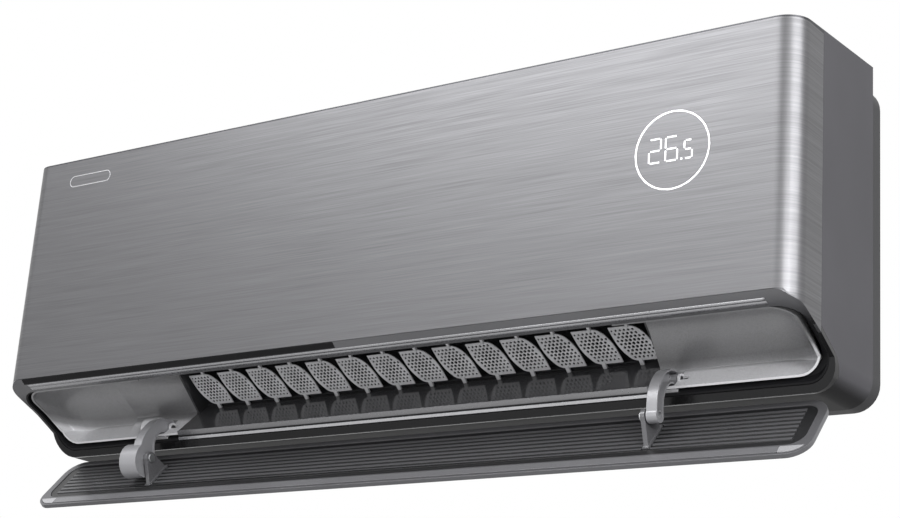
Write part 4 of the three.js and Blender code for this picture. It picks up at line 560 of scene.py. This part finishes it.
# A low dome that looks towards +X, with a screwdriver slot across it.
def domedCap(name, x0, look, steps=7, sides=40):
    y0, z0 = look["pivot"]
    radius, rise, sunk = look["radius"], look["rise"], look["sunk"]
    verts, faces = [], []
    turns = [math.pi / 2 * i / steps for i in range(steps)]
    profile = [(1.0, -sunk)] + [(math.cos(turn), math.sin(turn)) for turn in turns]
    for share, height in profile:
        for k in range(sides):
            angle = 2 * math.pi * k / sides
            y, z = share * radius * math.cos(angle), share * radius * math.sin(angle)
            inSlot = abs(z) < look["slotHalfWidth"] and share < look["slotReach"] and height > 0
            drop = look["slotDepth"] if inSlot else 0
            x = max(-sunk, height * rise - drop)
            verts.append(((x0 + x) * mm, (y0 + y) * mm, (z0 + z) * mm - plateMiddle))
    verts.append(((x0 + rise - look["slotDepth"]) * mm, y0 * mm, z0 * mm - plateMiddle))
    rings = len(profile)
    for ring in range(rings - 1):
        for k in range(sides):
            n = (k + 1) % sides
            faces.append((ring * sides + k, ring * sides + n, (ring + 1) * sides + n, (ring + 1) * sides + k))
    for k in range(sides):
        faces.append(((rings - 1) * sides + k, (rings - 1) * sides + (k + 1) % sides, len(verts) - 1))
    faces.append(tuple(reversed(range(sides))))
    mesh = bpy.data.meshes.new(name)
    mesh.from_pydata(verts, [], faces)
    smoothed(mesh, angle=40)
    return mesh


for name, body, x in capLook["caps"]:
    addPiece(name, domedCap(name, x, capLook), body, "zinc_steel")
print("screw caps made")

# the rim's upper face: a bead and a flat strip under the panel's foot

rimLook = {
    "foot": (-185.0, 65.8),  # where the bevel ends
    "mouth": (-173.0, 60.55),
    "reach": 468.0,
    "strips": [("rimBead", 0.4, 4.0, 1.2), ("rimStrip", 5.2, 9.6, 0.5)],  # near edge, far edge, height
    "sunk": 0.6,
    "fullness": 0.6,  # the lower, the flatter the crown's top
    "endLength": 3,
    "endRise": 0.1,
}


# A long band with a crowned section, lower at both ends.
def bandAlong(name, start, end, proud, look, crown=6):
    x0, x1 = -look["reach"], look["reach"]
    sunk, taper = look["sunk"], look["endLength"]
    along = Vector((end[0] - start[0], end[1] - start[1]))
    out = Vector((along.y, -along.x)).normalized()
    if out.y > 0:
        out = -out
    rows = [(-sunk, 0)]
    rows += [(proud * math.sin(math.pi * i / crown) ** look["fullness"], i / crown) for i in range(crown + 1)]
    rows += [(-sunk, 1)]
    verts = []
    for x in (x0, x0 + taper, x1 - taper, x1):
        rise = look["endRise"] if x in (x0, x1) else 1
        for height, share in rows:
            point = Vector(start) + along * share + out * (height * rise if height > 0 else height)
            verts.append((x * mm, point.x * mm, point.y * mm - plateMiddle))
    count = len(rows)
    faces = [(i, i + 1, i + 1 + count, i + count)
             for ring in range(3) for i in range(ring * count, ring * count + count - 1)]
    faces += [(ring * count + count - 1, ring * count, (ring + 1) * count, (ring + 1) * count + count - 1)
              for ring in range(3)]
    faces += [tuple(range(count)), tuple(reversed(range(3 * count, 4 * count)))]
    mesh = bpy.data.meshes.new(name)
    mesh.from_pydata(verts, [], faces)
    work = bmesh.new()
    work.from_mesh(mesh)
    bmesh.ops.recalc_face_normals(work, faces=work.faces)
    work.to_mesh(mesh)
    work.free()
    smoothed(mesh, angle=50)
    return mesh


def makeRimBands(look):
    foot, mouth = Vector(look["foot"]), Vector(look["mouth"])
    step = (mouth - foot).normalized()
    for name, near, far, proud in look["strips"]:
        band = bandAlong(name, foot + step * near, foot + step * far, proud, look)
        addPiece(name, band, "unit", "bright_trim", finish=bandGrey)


makeRimBands(rimLook)
print("rim bands made")

# air vanes: a leaf with rows of round holes, turning on two pegs

vaneLook = {  # millimetres, and degrees for the tilt
    "count": 14,
    "pitch": 42.6,
    "seat": (-62.4, 52.0),
    "tilt": 41.5,
    "foot": 5.2,
    "height": 41.0,
    "width": 41.4,
    "slant": 2.0,
    "thickness": 1.0,
    "holePitch": 4.7,
    "holeSmall": 1.1,
    "holeLarge": 1.85,
    "holeMargin": 0.9,
    "holeRows": 7,  # on each side of the middle
    "holeFade": 24,  # from the middle to where the holes are small
    "holeFadePower": 1.4,
    "pegWidth": 4.6,
    "pegDepth": 2.6,
    "pegBelow": 0.6,
    "pegInLeaf": 2.2,
    "pinWidth": 3.2,
    "pinAbove": 6.4,
    "pinInLeaf": 1.5,
    "pegRound": 0.3,
    "weld": 0.000002,  # metres
}


def bezierPoints(a, b, c, d, steps):
    points = []
    for i in range(1, steps + 1):
        t = i / steps
        s = 1 - t
        weights = (s ** 3, 3 * s * s * t, 3 * s * t * t, t ** 3)
        points.append(tuple(sum(w * p for w, p in zip(weights, way)) for way in zip(a, b, c, d)))
    return points


# The leaf's edge. Each curve has two handles and its end, in millimetres from the leaf's sides.
def leafOutline(look):
    low = look["foot"]
    high = low + look["height"]
    half = look["width"] / 2
    tip = half + look["slant"]
    points = [(-tip + 1, high)]
    points += bezierPoints(points[-1], (-tip + 2, high - 12), (-half + 1, low + 16), (-half + 9, low + 6), 12)
    points += bezierPoints(points[-1], (-half + 11.5, low + 2), (-half + 15, low), (-1, low), 8)
    points.append((tip, low))
    points += bezierPoints(points[-1], (tip - 1, low + 12), (half, high - 16), (half - 8, high - 6), 12)
    points += bezierPoints(points[-1], (half - 11.5, high - 2), (half - 15, high), (1, high), 8)
    return points


# How far a point is inside an outline, below 0 outside it.
def clearOf(point, outline):
    best = math.inf
    inside = False
    for (ax, ay), (bx, by) in zip(outline, outline[1:] + outline[:1]):
        dx, dy = bx - ax, by - ay
        t = max(0, min(1, ((point[0] - ax) * dx + (point[1] - ay) * dy) / (dx * dx + dy * dy)))
        best = min(best, math.hypot(point[0] - ax - dx * t, point[1] - ay - dy * t))
        if (ay > point[1]) != (by > point[1]) and point[0] < (bx - ax) * (point[1] - ay) / (by - ay) + ax:
            inside = not inside
    return best if inside else -best


def leafHoles(look, outline):
    middle = look["foot"] + look["height"] / 2
    rowPitch = look["holePitch"] * math.sqrt(3) / 2
    rows = range(-look["holeRows"], look["holeRows"] + 1)
    holes = []
    for row in rows:
        for column in rows:
            x = (column + (row % 2) / 2) * look["holePitch"]
            z = middle + row * rowPitch
            reach = math.hypot(x / look["holeFade"], (z - middle) / look["holeFade"])
            fade = min(1, reach) ** look["holeFadePower"]
            radius = look["holeLarge"] + (look["holeSmall"] - look["holeLarge"]) * fade
            if clearOf((x, z), outline) > radius + look["holeMargin"]:
                holes.append((x, z, radius))
    return holes


def plateWithHoles(name, outline, holes, thickness, holeSides=12):
    curve = bpy.data.curves.new(name, "CURVE")
    curve.dimensions = "2D"
    curve.fill_mode = "BOTH"
    curve.extrude = thickness * mm / 2
    rings = [outline]
    for x, y, radius in holes:
        angles = [2 * math.pi * i / holeSides for i in range(holeSides)]
        rings.append([(x + radius * math.cos(a), y + radius * math.sin(a)) for a in angles])
    for ring in rings:
        spline = curve.splines.new("POLY")
        spline.points.add(len(ring) - 1)
        spline.use_cyclic_u = True
        for point, (x, y) in zip(spline.points, ring):
            point.co = (x * mm, y * mm, 0, 1)
    holder = bpy.data.objects.new(name, curve)
    scene.collection.objects.link(holder)
    graph = bpy.context.evaluated_depsgraph_get()
    mesh = bpy.data.meshes.new_from_object(holder.evaluated_get(graph))
    bpy.data.objects.remove(holder)
    bpy.data.curves.remove(curve)
    mesh.name = name
    return mesh


def joinBoxes(mesh, boxes, look):
    work = bmesh.new()
    work.from_mesh(mesh)
    bmesh.ops.remove_doubles(work, verts=work.verts, dist=look["weld"])
    for (x0, y0, z0), (x1, y1, z1) in boxes:
        size = Vector((x1 - x0, y1 - y0, z1 - z0)) * mm
        middle = Vector((x0 + x1, y0 + y1, z0 + z1)) * mm / 2
        place = Matrix.Translation(middle) @ Matrix.Diagonal((*size, 1))
        made = bmesh.ops.create_cube(work, size=1, matrix=place)
        edges = {e for v in made["verts"] for e in v.link_edges}
        bmesh.ops.bevel(work, geom=list(edges), offset=look["pegRound"] * mm, segments=2, profile=0.5,
                        affect="EDGES")
    work.to_mesh(mesh)
    work.free()
    smoothed(mesh)


def makeVanes(look):
    outline = leafOutline(look)
    holes = leafHoles(look, outline)
    print("holes in a vane:", len(holes))
    leaf = plateWithHoles("vaneLeaf", outline, holes, look["thickness"])
    leaf.transform(Matrix.Rotation(math.pi / 2, 4, "X"))
    low, top = look["foot"], look["foot"] + look["height"]
    wide, deep, pin = look["pegWidth"] / 2, look["pegDepth"] / 2, look["pinWidth"] / 2
    joinBoxes(leaf, [
        ((-wide, -deep, -look["pegBelow"]), (wide, deep, low + look["pegInLeaf"])),
        ((-pin, -pin, top - look["pinInLeaf"]), (pin, pin, top + look["pinAbove"])),
    ], look)
    seatY, seatZ = look["seat"]
    for i in range(look["count"]):
        x = (i - (look["count"] - 1) / 2) * look["pitch"]
        place = Matrix.Translation((x * mm, seatY * mm, seatZ * mm - plateMiddle))
        place = place @ Matrix.Rotation(math.radians(90 - look["tilt"]), 4, "X")
        name = f"vane_{i + 1:02d}"
        addPiece(f"vaneLeaf{i + 1:02d}", leaf.copy(), name, "vane_plastic", (name,), place)


makeVanes(vaneLook)
print("vanes made")

# crossflow fan: thin curved blades between discs, on a shaft

fanLook = {
    "centre": (-85.0, 148.0),
    "blades": 35,
    "outer": 43.8,
    "inner": 34.3,
    "sweep": 15.0,  # degrees from a blade's inner edge to its outer edge
    "sweepPower": 1.5,
    "thickness": 1.0,
    "edgeShare": 0.55,  # of the thickness, at a blade's edges
    "halfLength": 302.0,
    "discs": [(-302.0, 0.0), (0.0, 30.0), (302.0, 0.0)],  # place and the bore's radius
    "discRadius": 44.5,
    "discThickness": 3.0,
    "shaft": 5.0,
    "chamfer": 0.4,
    "closed": 0.01,  # the bore of what has none
    "weld": 0.00002,  # metres
}


def bladeSection(look, turn, steps=6):
    middle = []
    for i in range(steps + 1):
        share = i / steps
        radius = look["inner"] + (look["outer"] - look["inner"]) * share
        angle = turn + math.radians(look["sweep"]) * share ** look["sweepPower"]
        middle.append(Vector((radius * math.cos(angle), radius * math.sin(angle))))
    sides = ([], [])
    for i, point in enumerate(middle):
        along = (middle[min(i + 1, steps)] - middle[max(i - 1, 0)]).normalized()
        half = look["thickness"] / 2 * (look["edgeShare"] if i in (0, steps) else 1)
        across = Vector((-along.y, along.x)) * half
        sides[0].append(point + across)
        sides[1].append(point - across)
    return sides[0] + sides[1][::-1]


# A disc or rod along X with chamfered rims.
def addRod(work, look, x0, x1, radius, bore, sides):
    y, z = look["centre"]
    cut = look["chamfer"]
    firstHalf = [(x0, bore), (x0, radius - cut), (x0 + cut, radius)]
    lastHalf = [(x1 - cut, radius), (x1, radius - cut), (x1, bore)]
    rings = []
    for x, r in firstHalf + lastHalf:
        ring = []
        for k in range(sides):
            angle = 2 * math.pi * k / sides
            ring.append(work.verts.new((x * mm, (y + r * math.cos(angle)) * mm,
                                        (z + r * math.sin(angle)) * mm - plateMiddle)))
        rings.append(ring)
    for a, b in zip(rings, rings[1:] + rings[:1]):
        for k in range(sides):
            n = (k + 1) % sides
            work.faces.new((a[k], a[n], b[n], b[k]))


def makeFan(look):
    y, z = look["centre"]
    low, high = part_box("crossflow_fan")
    work = bmesh.new()
    for i in range(look["blades"]):
        section = bladeSection(look, 2 * math.pi * i / look["blades"])
        ends = []
        for x in (-look["halfLength"], look["halfLength"]):
            places = [(x * mm, (y + p.x) * mm, (z + p.y) * mm - plateMiddle) for p in section]
            ends.append([work.verts.new(place) for place in places])
        count = len(section)
        for k in range(count):
            n = (k + 1) % count
            work.faces.new((ends[0][k], ends[0][n], ends[1][n], ends[1][k]))
        work.faces.new(ends[0][::-1])
        work.faces.new(ends[1])
    half = look["discThickness"] / 2
    for place, bore in look["discs"]:
        addRod(work, look, place - half, place + half, look["discRadius"], bore or look["closed"], 56)
    for x0, x1 in ((low[0] / mm, -look["halfLength"]), (look["halfLength"], high[0] / mm)):
        addRod(work, look, x0, x1, look["shaft"], look["closed"], 24)
    bmesh.ops.remove_doubles(work, verts=work.verts, dist=look["weld"])
    bmesh.ops.recalc_face_normals(work, faces=work.faces)
    mesh = bpy.data.meshes.new("crossflowFanBlades")
    work.to_mesh(mesh)
    work.free()
    smoothed(mesh, angle=40)
    addPiece("crossflowFanBlades", mesh, bodyOf("crossflow_fan"), "dark_plastic", ("crossflow_fan",))


makeFan(fanLook)
print("fan made")

# display: ring and number lit through the panel, and the bare pill plate

frontFace = {"depth": 191.5, "lean": 3.5, "foot": 71.5, "top": 335.0}


def facePoint(x, z, proud):
    lean = frontFace["lean"] * (z - frontFace["foot"]) / (frontFace["top"] - frontFace["foot"])
    return Vector((x * mm, (-frontFace["depth"] + lean - proud) * mm, z * mm - plateMiddle))


# Closed plates on the panel's face, from proud of it to sunk in it.
def onFace(name, rings, proud, sunk):
    verts, faces = [], []
    for ring in rings:
        start = len(verts)
        count = len(ring)
        verts += [facePoint(x, z, proud) for x, z in ring] + [facePoint(x, z, -sunk) for x, z in ring]
        faces.append([start + i for i in range(count)])
        faces.append([start + count + i for i in reversed(range(count))])
        for i in range(count):
            k = (i + 1) % count
            faces.append([start + i, start + count + i, start + count + k, start + k])
    mesh = bpy.data.meshes.new(name)
    mesh.from_pydata(verts, [], faces)
    return mesh


def bandOnFace(name, inner, outer, proud, sunk):
    count = len(inner)
    layers = [(outer, proud), (inner, proud), (inner, -sunk), (outer, -sunk)]
    verts = [facePoint(x, z, depth) for ring, depth in layers for x, z in ring]
    faces = []
    for layer in range(4):
        for i in range(count):
            k = (i + 1) % count
            after = (layer + 1) % 4
            faces.append([layer * count + i, layer * count + k, after * count + k, after * count + i])
    mesh = bpy.data.meshes.new(name)
    mesh.from_pydata(verts, [], faces)
    return mesh


def circle(x, z, radius, count=96):
    return [(x + radius * math.cos(2 * math.pi * i / count), z + radius * math.sin(2 * math.pi * i / count))
            for i in range(count)]


def pill(x0, x1, z0, z1, steps=14):
    radius = (z1 - z0) / 2
    middle = (z0 + z1) / 2
    points = []
    for side, x in ((-90, x1 - radius), (90, x0 + radius)):
        for i in range(steps + 1):
            angle = math.radians(side + 180 * i / steps)
            points.append((x + radius * math.cos(angle), middle + radius * math.sin(angle)))
    return points


displayLook = {
    "centre": (373.0, 219.0),
    "radius": 39.0,
    "line": 1.6,
    "bar": 1.5,
    "gap": 0.5,
    "baseline": 207.6,
    # each digit's left edge from the centre, its height and its width
    "digits": [("2", -25.2, 25.4, 14.0), ("6", -7.6, 25.4, 14.0), ("5", 12.4, 19.4, 9.6)],
    "point": (9.4, 1.8),
    "ringSunk": 0.5,
    "numberProud": 0.06,
    "glow": 0.55,
}
segmentsOf = {"2": "abged", "6": "afgecd", "5": "afgcd"}


def digitBars(digit, x, z, width, height, bar, gap):
    half = height / 2
    horizontal = {"a": height - bar, "g": half - bar / 2, "d": 0}
    vertical = {"f": (0, half), "b": (width - bar, half), "e": (0, 0), "c": (width - bar, 0)}
    bars = []
    for segment in segmentsOf[digit]:
        if segment in horizontal:
            z0 = z + horizontal[segment]
            x0, x1, z1 = x + bar + gap, x + width - bar - gap, z0 + bar
        else:
            x0 = x + vertical[segment][0]
            z0 = z + vertical[segment][1] + bar / 2 + gap
            x1, z1 = x0 + bar, z + vertical[segment][1] + half - bar / 2 - gap
        bars.append([(x0, z0), (x1, z0), (x1, z1), (x0, z1)])
    return bars


def makeDisplay(look):
    x, z = look["centre"]
    half = look["line"] / 2
    inner, outer = circle(x, z, look["radius"] - half), circle(x, z, look["radius"] + half)
    ring = bandOnFace("displayRing", inner, outer, 0.0, look["ringSunk"])
    smoothed(ring)
    glow = finishes["white_light"].node_tree.nodes["Principled BSDF"]
    glow.inputs["Emission Color"].default_value = (1, 1, 1, 1)
    glow.inputs["Emission Strength"].default_value = look["glow"]
    addPiece("displayRing", ring, "unit", "white_light", ("display_ring",))
    bars = []
    for digit, left, height, width in look["digits"]:
        bars += digitBars(digit, x + left, look["baseline"], width, height, look["bar"], look["gap"])
    left, size = look["point"]
    x0, z0 = x + left, look["baseline"]
    bars.append([(x0, z0), (x0 + size, z0), (x0 + size, z0 + size), (x0, z0 + size)])
    number = onFace("displayNumber", bars, look["numberProud"], 0.0)
    addPiece("displayNumber", number, "unit", "white_light")


makeDisplay(displayLook)

badgeLook = {
    "left": -436.0,
    "right": -370.0,
    "low": 301.0,
    "high": 315.0,
    "rim": 1.1,
    "rimProud": 0.15,
    "plateProud": -0.1,
    "sunk": 0.8,
}


def makeBadge(look):
    x0, x1, z0, z1 = look["left"], look["right"], look["low"], look["high"]
    rim = look["rim"]
    inner, outer = pill(x0 + rim, x1 - rim, z0 + rim, z1 - rim), pill(x0, x1, z0, z1)
    ring = bandOnFace("badgeRim", inner, outer, look["rimProud"], look["sunk"])
    smoothed(ring)
    addPiece("badgeRim", ring, "unit", "bright_trim")
    plate = onFace("badgePlate", [inner], look["plateProud"], look["sunk"])
    addPiece("badgePlate", plate, "unit", "brushed_panel", ("badge_plate",))


makeBadge(badgeLook)
print("display and badge made")
